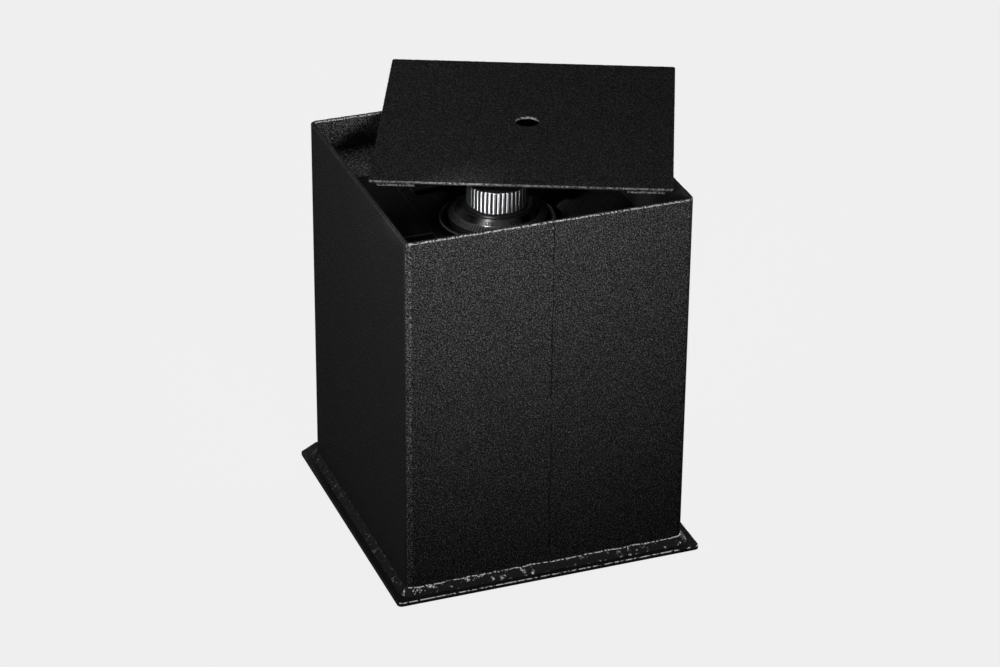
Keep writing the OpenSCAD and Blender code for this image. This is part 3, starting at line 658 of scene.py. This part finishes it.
def build_spatter():
    """Weld spatter: painted drops beside the seam, bare ones on the foot bead's front left corner."""
    # Across, down from the rim, radius
    face_drops = [(0.8, 7.0, 0.9), (-2.6, 11.5, 0.5), (5.5, 21.0, 0.45), (-6.0, 60.0, 0.4),
                  (7.5, 120.0, 0.45), (-3.5, 210.0, 0.4), (9.0, 265.0, 0.5)]
    # Across, out from the wall, up from the base plate, radius
    bead_drops = [(-147.0, 2.7, 4.4, 0.9), (-144.6, 3.6, 3.4, 0.7), (-142.3, 2.6, 4.5, 1.1),
                  (-140.2, 4.6, 2.5, 0.7), (-138.0, 3.2, 3.8, 0.8), (-134.5, 3.9, 3.1, 0.6),
                  (-145.8, 5.0, 2.0, 0.8)]
    forward = Vector((0.0, -1.0, 0.0))
    slope_up = Vector((0.0, -0.72, 0.69))
    bright, painted, bare = range(3)
    # The drop nearest the rim takes the worn and lit edge paint: a painted highlight on a real drop.
    kinds = [bright] + [painted] * (len(face_drops) - 1) + [bare] * len(bead_drops)
    drops = [(Vector((x, -HALF, RIM_Z - down)), forward, r) for x, down, r in face_drops]
    drops += [(Vector((x, -HALF - d, weld_low.z + h)), slope_up, r) for x, d, h, r in bead_drops]
    points, faces, indices = [], [], []
    for kind, (middle, up, radius) in zip(kinds, drops):
        before = len(faces)
        add_drop(points, faces, middle, up, radius)
        indices += [kind] * (len(faces) - before)
    make_piece("weld_spatter", points, faces, [WORN_LIT_EDGE, EDGE_PAINT, BARE_DROP], "safe_body",
               [], indices)


# Dust cover


def cover_place():
    """Where the cover lies: its own frame, in the middle of its underside."""
    middle = Matrix.Translation((COVER_CENTRE.x, COVER_CENTRE.y, cover_low.z))
    return middle @ Matrix.Rotation(COVER_TURN, 4, "Z")


def build_cover():
    """Sheared plate with eased edges and a finger hole in its middle."""
    stations = rounded_bar(COVER_HALF, COVER_HALF, COVER_CORNER_R, step=1.0, corner_steps=4)
    edge, lit_share = 0.7, 0.45
    low, high = 0.0, cover_high.z - cover_low.z
    section = plate_section(low, high, edge)
    lit_from = len(section) // 2
    section.insert(lit_from, (0.0, lit_share * high))
    rim = sweep(stations, section, wear_mm=0.2, wear_length=4.0, wear_from_z=low)
    hole = []
    for inward, z in reversed(section):
        r = COVER_HOLE_R + inward
        for x, y, _, _ in stations:
            a = math.atan2(y, x)
            hole.append((r * math.cos(a), r * math.sin(a), z))
    place = cover_place()
    points = [tuple(place @ Vector(p)) for p in rim + hole]
    rim_rows = len(section)
    rows = 2 * rim_rows
    faces = ring_faces(rows, len(stations), closed_rows=True)
    inwards = [inward for inward, _ in reversed(section)]
    straight = 0.3
    # The finger hole's wall is lighter all round, in patches: wear, and a painted highlight for light on
    # the hole's wall.
    hole_wall_rows = [rim_rows + i for i in range(rim_rows - 1) if inwards[i] + inwards[i + 1] < straight]
    materials = [COVER_SHADED_PAINT, COVER_WORN_LIT_EDGE, HOLE_WORN_LIT_EDGE]
    plain, rim_worn_lit_edge, hole_worn_lit_wall = range(len(materials))
    indices = []
    # The upper part of the front edge takes the worn and lit paint, wear with a painted highlight; its
    # lower part stays plain.
    for row in range(rows):
        for station in stations:
            if lit_from <= row < rim_rows - 1 and front_facing(station):
                indices.append(rim_worn_lit_edge)
            else:
                indices.append(hole_worn_lit_wall if row in hole_wall_rows else plain)
    make_piece("dust_cover", points, faces, materials, "cover",
               ["cover_plate"], indices)


def build_tabs():
    """Four sheared strips under the cover, their lower edges eased, and lightened at the front as wear with
    a painted highlight.
    """
    edge, eased_share, rubbed_deep = 0.7, 0.3, 2.0
    ragged_mm, ragged_lift = 0.25, 0.5
    outline = rounded_bar(TAB_LENGTH / 2, TAB_THICK / 2, edge, step=2.0, corner_steps=3)
    eased = eased_share * edge
    levels = [(edge, -TAB_DEEP), (eased, eased - TAB_DEEP), (0.0, edge - TAB_DEEP),
              (0.0, rubbed_deep - TAB_DEEP), (0.0, 0.0)]
    plain, rubbed_and_lit = range(2)
    front_part = -0.5
    count = len(outline)
    place = cover_place()
    points, faces, indices = [], [], []
    for side in (-1, 1):
        for end in (-1, 1):
            mid_x = side * (COVER_HALF - TAB_SIDE - TAB_LENGTH / 2)
            mid_y = end * (COVER_HALF - TAB_END - TAB_THICK / 2)
            start = len(points)
            for inward, z in levels:
                for x, y, nx, ny in outline:
                    ragged = 0.0
                    if z < 0.0:
                        ragged = ragged_mm * wobble(x + mid_x, y + mid_y, z, wavelength=4.0, seed=2.6)
                    local_y = mid_y + y - ny * inward + ny * ragged
                    local = (mid_x + x - nx * inward, local_y, z - ragged_lift * ragged)
                    points.append(tuple(place @ Vector(local)))
            faces += [tuple(start + i for i in f) for f in capped_faces(len(levels), count)]
            for row in range(len(levels) - 1):
                worn_and_lit = end < 0 and row < len(levels) - 2
                indices += [rubbed_and_lit if worn_and_lit and station[3] < front_part else plain for station in outline]
            indices += [plain, plain]
    make_piece("cover_lugs", points, faces, [KEY_LIT_PAINT, COVER_WORN_LIT_EDGE], "cover",
               ["cover_tabs"], indices)


# Dial and knob

RING_FLOOR = 3.0
# Ends of the ring's slope: offset from the well or from the outer edge, and depth under the ring's top
SLOPE_IN, SLOPE_IN_DROP = 0.5, 2.2
SLOPE_OUT, SLOPE_OUT_DROP = 3.0, 0.1
TICKS = 100
FIGURE_STEP = 10
FIGURE_ZERO_DEG = 94.5
FIGURE_HEIGHT = 4.7
BAND_R = 44.0
CONE_TOP_R = 36.0
CONE_EDGE_UP = 8.4
RIBS = 40


def lathe(profile, count):
    """Points of a profile of (radius, height) turned about the dial axis."""
    points = []
    for r, z in profile:
        for k in range(count):
            a = 2 * math.pi * k / count
            points.append((r * math.cos(a), r * math.sin(a), z))
    return points


def build_ring():
    """Fixed ring with a bright outer edge and a lip that slopes down to the dial."""
    count = 192
    outer, top, low = ring_high.x, ring_high.z, ring_low.z
    floor, bore, well = low + RING_FLOOR, RING_BORE_R, RING_WELL_R
    groove = top - 0.25
    profile = [(bore, low), (outer - 0.3, low), (outer, low + 0.3), (outer, top - 1.1),
               (outer - 0.2, top - 0.4), (outer - 0.8, top), (outer - 1.7, top), (outer - 1.9, groove),
               (outer - 2.2, groove), (outer - 2.4, top), (outer - SLOPE_OUT, top - SLOPE_OUT_DROP),
               (well + SLOPE_IN, top - SLOPE_IN_DROP), (well, top - 2.7), (well, floor), (bore, floor)]
    faces = ring_faces(len(profile), count, closed_rows=True)
    materials = [CAP_BLACK, CHROME, TURNED_EDGE]
    black, bright, turned = range(len(materials))
    tone_of_row = {3: turned, 4: bright, 5: turned, 9: turned}
    indices = [tone_of_row.get(f // count, black) for f in range(len(faces))]
    make_piece("ring_turned", lathe(profile, count), faces, materials, "door",
               ["dial_ring"], indices, sharp_deg=28.0)


def cone_z(r):
    """Height of the dial's cone at a radius."""
    edge_z = dial_low.z + CONE_EDGE_UP
    return edge_z + (dial_high.x - r) * (dial_high.z - edge_z) / (dial_high.x - CONE_TOP_R)


def build_dial():
    """Conical dial with a graduated band whose marks are cut in and filled black."""
    outer, low = dial_high.x, dial_low.z
    ease, line_half, line_deep = 0.4, 0.25, 0.35
    mark_inset, mark_deep = 0.9, 0.3
    mark_from, mark_to = BAND_R + mark_inset, outer - mark_inset
    black_r, turn_r, top_r = CONE_TOP_R + 1.0, CONE_TOP_R + 0.4, CONE_TOP_R - 0.2

    def on_cone(r, down=0.0, cut=0.0):
        return (r, cone_z(r) - down, cut)

    profile = [(SPINDLE_BORE_R, low, 0.0), (outer - ease, low, 0.0), (outer, low + ease, 0.0),
               on_cone(outer, down=0.5), on_cone(outer - line_half, down=0.05),
               on_cone(mark_to + line_half), on_cone(mark_to, cut=1.0),
               on_cone(mark_from, cut=1.0), on_cone(mark_from - line_half),
               on_cone(BAND_R + line_half), on_cone(BAND_R, down=line_deep), on_cone(BAND_R - line_half),
               on_cone(black_r), on_cone(turn_r), (top_r, dial_high.z, 0.0),
               (SPINDLE_BORE_R, dial_high.z, 0.0)]
    marked_row, black_row = 6, 12
    # Places across one mark's pitch, and the share of the mark's depth there
    spread = [(-0.2, 0.0), (-0.16, 1.0), (0.16, 1.0), (0.2, 0.0), (0.35, 0.0), (0.5, 0.0), (0.65, 0.0)]
    filled_columns = range(3)
    count = TICKS * len(spread)
    points = []
    for r, z, cut in profile:
        for tick in range(TICKS):
            for offset, deep in spread:
                a = math.radians(FIGURE_ZERO_DEG) - 2 * math.pi * (tick + offset) / TICKS
                points.append((r * math.cos(a), r * math.sin(a), z - mark_deep * cut * deep))
    faces = [tuple(reversed(f)) for f in ring_faces(len(profile), count, closed_rows=True)]
    materials = [SATIN, FIGURES, TICK_BAND, SHADE_AND_BLACK_FILL]
    satin, black, band, dark = range(len(materials))
    indices = []
    for row in range(len(profile)):
        for k in range(count):
            filled = row == marked_row and k % len(spread) in filled_columns
            if filled or row < marked_row - 2:
                indices.append(dark)
            elif row >= black_row:
                indices.append(black)
            else:
                indices.append(band if row <= marked_row + 2 else satin)
    make_piece("dial_turned", points, faces, materials, "dial", ["dial"], indices,
               sharp_deg=28.0)


def figure_mesh(text, height):
    """Flat mesh of a plain number in millimetres, centred, with a small thickness."""
    capital_share, half_thick, bolder, join_within = 0.7, 0.04, 0.1, 0.0005
    curve = bpy.data.curves.new("figure", "FONT")
    curve.body = text
    curve.size = height / capital_share
    curve.extrude = half_thick
    curve.offset = bolder
    curve.align_x = "CENTER"
    curve.resolution_u = 4
    holder = add_object("figure", curve)
    bpy.context.view_layer.update()
    mesh = bpy.data.meshes.new_from_object(holder.evaluated_get(bpy.context.evaluated_depsgraph_get()))
    joined = bmesh.new()
    joined.from_mesh(mesh)
    bmesh.ops.remove_doubles(joined, verts=joined.verts, dist=join_within)
    bmesh.ops.recalc_face_normals(joined, faces=joined.faces)
    joined.to_mesh(mesh)
    joined.free()
    points = [v.co.copy() for v in mesh.vertices]
    faces = [tuple(p.vertices) for p in mesh.polygons]
    bpy.data.objects.remove(holder)
    bpy.data.curves.remove(curve)
    bpy.data.meshes.remove(mesh)
    return points, faces


def build_figures():
    """Numbers 0 to 90 laid on the cone, their tops outward, running clockwise."""
    widen, outward, lift = 1.45, 1.3, 0.02
    middle_r = (BAND_R + CONE_TOP_R) / 2 + outward
    slope = math.atan2(cone_z(CONE_TOP_R) - cone_z(BAND_R), BAND_R - CONE_TOP_R)
    points, faces = [], []
    for n in range(0, TICKS, FIGURE_STEP):
        local, local_faces = figure_mesh(str(n), FIGURE_HEIGHT)
        centre_a = math.radians(FIGURE_ZERO_DEG) - 2 * math.pi * n / TICKS
        start = len(points)
        for p in local:
            along = p.y - FIGURE_HEIGHT / 2
            r = middle_r + along * math.cos(slope) + p.z * math.sin(slope)
            z = cone_z(middle_r) - along * math.sin(slope) + p.z * math.cos(slope) + lift
            a = centre_a - p.x * widen / middle_r
            points.append((r * math.cos(a), r * math.sin(a), z))
        faces += [tuple(start + i for i in f) for f in local_faces]
    make_piece("dial_figures", points, faces, [FIGURES], "dial", [])


def build_index():
    """Index mark filled in the fixed ring's slope, behind the dial."""
    zero_a = math.radians(FIGURE_ZERO_DEG)
    slope_in, slope_out = RING_WELL_R + SLOPE_IN, ring_high.x - SLOPE_OUT
    slope_rise = (SLOPE_IN_DROP - SLOPE_OUT_DROP) / (slope_out - slope_in)
    inner, outer = slope_in + 0.4, slope_out - 0.2
    inner_half_w, outer_half_w = 0.35, 0.7
    sink, proud = -0.1, 0.06
    points = []
    for lift in (sink, proud):
        for r, half_w in ((inner, inner_half_w), (outer, outer_half_w)):
            z = ring_high.z - SLOPE_IN_DROP + (r - slope_in) * slope_rise + lift
            for side in (-1, 1):
                a = zero_a + side * half_w / r
                points.append((r * math.cos(a), r * math.sin(a), z))
    faces = [(0, 1, 3, 2), (4, 6, 7, 5), (0, 4, 5, 1), (2, 3, 7, 6), (0, 2, 6, 4), (1, 5, 7, 3)]
    make_piece("ring_index", points, faces, [FIGURES], "door", [])


def build_collar():
    """Turned collar under the knob, with a rounded upper edge; black, with a darker copy of the dial's
    satin on its side and edge, as painted shade under the knob.
    """
    low, high, outer = collar_low.z, collar_high.z, collar_high.x
    round_r, round_z, foot_inset = 0.45, 0.5, 0.1
    profile = [(SPINDLE_BORE_R, low), (outer - foot_inset, low)]
    profile += [(outer - round_r + round_r * math.cos(a), high - round_z + round_z * math.sin(a))
                for a in (0.0, 0.4, 0.8, 1.2, math.pi / 2)]
    profile += [(SPINDLE_BORE_R, high)]
    count = 160
    faces = ring_faces(len(profile), count, closed_rows=True)
    black, satin = range(2)
    satin_rows = range(1, 6)
    indices = [satin if f // count in satin_rows else black for f in range(len(faces))]
    make_piece("collar_turned", lathe(profile, count), faces, [CAP_BLACK, SHADED_SATIN], "dial",
               ["dial_collar"], indices)


def build_knob():
    """Ribbed knob: rounded chrome ribs with narrow grooves that run out through its top edge; grooves and
    top are black as painted shade, and the neck and underside are black too.
    """
    low, high, outer = knob_low.z, knob_high.z, knob_high.x
    foot, neck_r, seat_r, seat_z = low + 1.0, 29.3, 28.55, cap_low.z
    rib_deep, round_share = 1.9, 0.93
    # Places across half a rib's pitch to each side of its middle
    spread = [-1.0, -0.9, -0.78, -0.66, -0.52, -0.35, -0.17, 0.0, 0.17, 0.35, 0.52, 0.66, 0.78, 0.9]
    shaded_groove_columns = (0, 1, len(spread) - 2, len(spread) - 1)
    # Radius, height, and the share of the ribs' depth there
    profile = [(SPINDLE_BORE_R, low, 0.0), (neck_r, low, 0.0), (neck_r, foot, 0.0),
               (outer - 1.9, foot, 0.15), (outer - 1.0, foot + 0.15, 0.4), (outer - 0.4, foot + 0.5, 0.75),
               (outer, foot + 1.3, 1.0), (outer, foot + 2.2, 1.0), (outer, high - 2.6, 1.0),
               (outer, high - 1.6, 1.0), (outer - 0.15, high - 1.0, 0.95), (outer - 0.45, high - 0.5, 0.85),
               (outer - 0.9, high - 0.15, 0.7), (outer - 1.4, high, 0.5), (seat_r + 0.5, high, 0.1),
               (seat_r, high - 0.3, 0.0), (seat_r, seat_z, 0.0), (SPINDLE_BORE_R, seat_z, 0.0)]
    points = []
    for r, z, ribbed in profile:
        for rib in range(RIBS):
            for t in spread:
                a = 2 * math.pi * (rib + t / 2) / RIBS
                cut = rib_deep * ribbed * (1.0 - math.sqrt(1.0 - (round_share * t) ** 2))
                points.append(((r - cut) * math.cos(a), (r - cut) * math.sin(a), z))
    count = RIBS * len(spread)
    faces = ring_faces(len(profile), count, closed_rows=True)
    bright, black = range(2)
    shaded_top_from = [i for i, p in enumerate(profile) if p[1] == high][0]
    ribbed_from = [i for i, p in enumerate(profile) if p[2] > 0.0][0]
    # Grooves, top and seat take the cap's black: painted shade between the ribs and under the cover.
    indices = []
    for row in range(len(profile)):
        for k in range(count):
            ribbed = ribbed_from <= row < shaded_top_from
            indices.append(bright if ribbed and k % len(spread) not in shaded_groove_columns else black)
    make_piece("knob_ribbed", points, faces, [CHROME, CAP_BLACK], "dial", ["dial_knob"],
               indices, sharp_deg=50.0)


def build_cap():
    """Black disc sunk in the knob's top, with an eased edge, a groove and a slight crown."""
    low, high, outer = cap_low.z, cap_high.z, cap_high.x
    groove = high - 0.25
    crown_r, crown = 0.4, high + 0.25
    profile = [(outer, low), (outer, high - 0.4), (outer - 0.15, high - 0.12), (outer - 0.5, high),
               (outer - 2.0, high), (outer - 2.3, groove), (outer - 2.9, groove), (outer - 3.2, high),
               (crown_r, crown)]
    count = 128
    faces = capped_faces(len(profile), count)
    make_piece("cap_disc", lathe(profile, count), faces, [CAP_BLACK], "dial",
               ["knob_cap"])


# CAD nodes that keep their own shape

# Nodes whose edges would hardly be eased with the bevel's clamp on
LONG_EDGED = ("deck_plate", "left_hinge_ledge", "door_plate")
WELD_WITHIN_M = 1e-6
EDGE_ANGLE_DEG = 40.0

# Material, edge material, width of the eased edges, nodes
DRESSED = [
    # The recess parts' eased edges take a lighter worn paint: wear, with painted highlights along those
    # edges.
    (SIDE_SHADED_PAINT, INNER_WORN_LIT_EDGE, 0.6, ["deck_plate", "left_hinge_ledge", "right_hinge_block"]),
    (SIDE_SHADED_PAINT, INNER_WORN_LIT_EDGE, 0.4, ["door_plate"]),
    (COVER_SHADED_PAINT, EDGE_PAINT, 0.5, ["front_bolt_guide", "left_bolt_guide", "right_bolt_guide",
                                    "bolt_carriage"]),
    (POCKET_SHADE_BLACK, POCKET_SHADE_BLACK, 0.4, ["hinge_rod", "rod_collars"]),
    (STEEL, STEEL, 0.4, ["hard_plate", "front_bolts", "left_bolt", "right_bolt"]),
    (STEEL, STEEL, 0.25, ["lock_case_screws", "dial_ring_screws", "front_guide_screws", "side_guide_screws",
                          "front_bolt_screws", "lock_bolt_screws", "lever_screw", "left_drive_pin",
                          "right_drive_pin", "spindle"]),
    (BRASS, BRASS, 0.3, ["spindle_tube", "drive_cam", "wheel_1", "wheel_2", "wheel_3", "lock_bolt"]),
    (ZINC, ZINC, 0.5, ["lock_case", "lock_case_lid", "fence_lever"]),
    (RUBBER, RUBBER, 0.8, ["door_stop"]),
]


def dress(name, material, edge_material, edge_mm):
    """Gives a CAD node its material and eases its edges, which take a material of their own."""
    node = nodes[name]
    node.data.materials.clear()
    node.data.materials.append(material)
    node.data.materials.append(edge_material)
    weld = node.modifiers.new("weld", "WELD")
    weld.merge_threshold = WELD_WITHIN_M
    bevel = node.modifiers.new("edges", "BEVEL")
    bevel.width = edge_mm * MM
    bevel.segments = 2
    bevel.limit_method = "ANGLE"
    bevel.angle_limit = math.radians(EDGE_ANGLE_DEG)
    bevel.harden_normals = True
    bevel.use_clamp_overlap = name not in LONG_EDGED
    bevel.material = 1


# Studio

PALE = 0.863
FLOOR_GLOW = 0.855
FLOOR_TONE = 0.045
FLOOR_BOUNCE = 0.08
FLOOR_HALF_M = 6.0
WORLD_FILL = 0.11
WHITE = (1.0, 1.0, 1.0, 1.0)


def build_floor():
    """Pale floor that is bright to the eye and to mirrors, and dark to soft light."""
    side = FLOOR_HALF_M
    mesh = bpy.data.meshes.new("floor")
    corners = [(-side, -side, 0.0), (side, -side, 0.0), (side, side, 0.0), (-side, side, 0.0)]
    mesh.from_pydata(corners, [], [(0, 1, 2, 3)])
    floor = add_object("floor", mesh)
    material = bpy.data.materials.new("floor")
    material.use_nodes = True
    mesh.materials.append(material)
    tree = material.node_tree
    tree.nodes.remove(tree.nodes["Principled BSDF"])
    glow = add_node(tree, "ShaderNodeEmission", {"Color": WHITE, "Strength": FLOOR_GLOW})
    lit = add_node(tree, "ShaderNodeBsdfDiffuse", {"Color": (*grey(FLOOR_TONE), 1.0)})
    both = add_node(tree, "ShaderNodeAddShader")
    link(glow.outputs["Emission"], both.inputs[0])
    link(lit.outputs["BSDF"], both.inputs[1])
    path = add_node(tree, "ShaderNodeLightPath")
    seen = maths("MAXIMUM", path.outputs["Is Camera Ray"], path.outputs["Is Glossy Ray"])
    seen = maths("MAXIMUM", seen, path.outputs["Is Transmission Ray"])
    dim = add_node(tree, "ShaderNodeBsdfDiffuse", {"Color": (*grey(FLOOR_BOUNCE), 1.0)})
    mix = add_node(tree, "ShaderNodeMixShader")
    link(seen, mix.inputs["Fac"])
    link(dim.outputs["BSDF"], mix.inputs[1])
    link(both.outputs["Shader"], mix.inputs[2])
    link(mix.outputs["Shader"], tree.nodes["Material Output"].inputs["Surface"])


def build_world():
    """Pale surroundings for the eye and for mirrors, weak fill for soft light."""
    world = bpy.data.worlds.new("studio")
    bpy.context.scene.world = world
    world.use_nodes = True
    tree = world.node_tree
    background = tree.nodes["Background"]
    background.inputs["Color"].default_value = WHITE
    path = add_node(tree, "ShaderNodeLightPath")
    seen = maths("MAXIMUM", path.outputs["Is Camera Ray"], path.outputs["Is Glossy Ray"])
    strength = remap(seen, UNIT, (WORLD_FILL, PALE))
    link(strength, background.inputs["Strength"])


def place_lamp(name, data, place, target):
    """Puts a lamp at a place in metres, aimed at a target."""
    lamp = add_object(name, data)
    lamp.location = place
    aim = Vector(target) - Vector(place)
    lamp.rotation_euler = aim.to_track_quat("-Z", "Y").to_euler()


def area_light(name, place, target, size, power, spread_deg=180.0):
    """Square soft box; its size is in metres."""
    data = bpy.data.lights.new(name, "AREA")
    data.shape = "RECTANGLE"
    data.size = size
    data.size_y = size
    data.energy = power
    data.spread = math.radians(spread_deg)
    place_lamp(name, data, place, target)


def spot_light(name, place, target, radius, power, cone_deg):
    """Narrow lamp that reaches under the cover; its radius is in metres."""
    data = bpy.data.lights.new(name, "SPOT")
    data.energy = power
    data.shadow_soft_size = radius
    data.spot_size = math.radians(cone_deg)
    data.spot_blend = 0.4
    place_lamp(name, data, place, target)


def build_lamps():
    """Soft boxes round the safe, and narrow lamps for the hard light under the cover."""
    area_light("key", (-0.11, -1.05, 0.66), (-0.06, -0.1, 0.605), size=0.16, power=1.32, spread_deg=65.0)
    area_light("left", (-1.24, -0.78, 0.75), (-0.02, -0.03, 0.61), size=0.45, power=0.86, spread_deg=60.0)
    area_light("top", (0.1, 0.6, 2.2), (0.0, 0.0, 0.3), size=1.2, power=0.3)
    area_light("right", (1.25, 1.0, 0.3), (0.15, 0.02, 0.22), size=0.5, power=1.0, spread_deg=45.0)
    area_light("back", (0.3, 1.7, 0.32), (0.0, 0.15, 0.22), size=0.5, power=1.1, spread_deg=45.0)
    spot_light("recess", (-1.402, -0.97, 0.965), (0.1, 0.0054, 0.331), 0.01, power=25.0, cone_deg=1.7)
    wall_place, wall_target = (-1.354, -1.013, 0.983), (0.1477, -0.0376, 0.3494)
    spot_light("inner_wall", wall_place, wall_target, 0.01, power=27.0, cone_deg=1.35)
    spot_light("ledge", (-1.35, -0.35, 1.85), (-0.07, -0.05, 0.335), 0.05, power=12.0, cone_deg=4.0)
    spot_light("knob", (-1.68, -1.41, 1.48), (-0.012, -0.014, 0.352), 0.03, power=700.0, cone_deg=1.3)


# Camera fitted to the photograph: place in metres, lens and sensor in millimetres
CAMERA_PLACE = (-1.0864, -2.8797, 1.8478)
CAMERA_AZIMUTH = math.radians(-20.74)
CAMERA_ELEVATION = math.radians(28.13)
CAMERA_ROLL = math.radians(0.51)
CAMERA_LENS = 120.42
CAMERA_SENSOR = 36.0


def build_camera():
    """Camera at the photograph's viewing angle."""
    level = math.cos(CAMERA_ELEVATION)
    back = Vector((math.sin(CAMERA_AZIMUTH) * level, -math.cos(CAMERA_AZIMUTH) * level,
                   math.sin(CAMERA_ELEVATION)))
    right = (-back).cross(Vector((0, 0, 1))).normalized()
    up = right.cross(-back)
    right_rolled = math.cos(CAMERA_ROLL) * right + math.sin(CAMERA_ROLL) * up
    up_rolled = -math.sin(CAMERA_ROLL) * right + math.cos(CAMERA_ROLL) * up
    data = bpy.data.cameras.new("camera")
    data.sensor_width = CAMERA_SENSOR
    data.lens = CAMERA_LENS
    camera = add_object("camera", data)
    turn = Matrix((right_rolled, up_rolled, back)).transposed().to_4x4()
    camera.matrix_world = Matrix.Translation(CAMERA_PLACE) @ turn
    bpy.context.scene.camera = camera


# Build

build_shell()
build_base()
build_foot_weld()
build_seam()
build_spatter()
build_cover()
build_tabs()
build_ring()
build_dial()
build_figures()
build_index()
build_collar()
build_knob()
build_cap()
for paint, edge_paint, edge_width, names in DRESSED:
    for name in names:
        dress(name, paint, edge_paint, edge_width)

build_floor()
build_world()
build_lamps()
build_camera()
bpy.context.scene.view_settings.view_transform = "Standard"
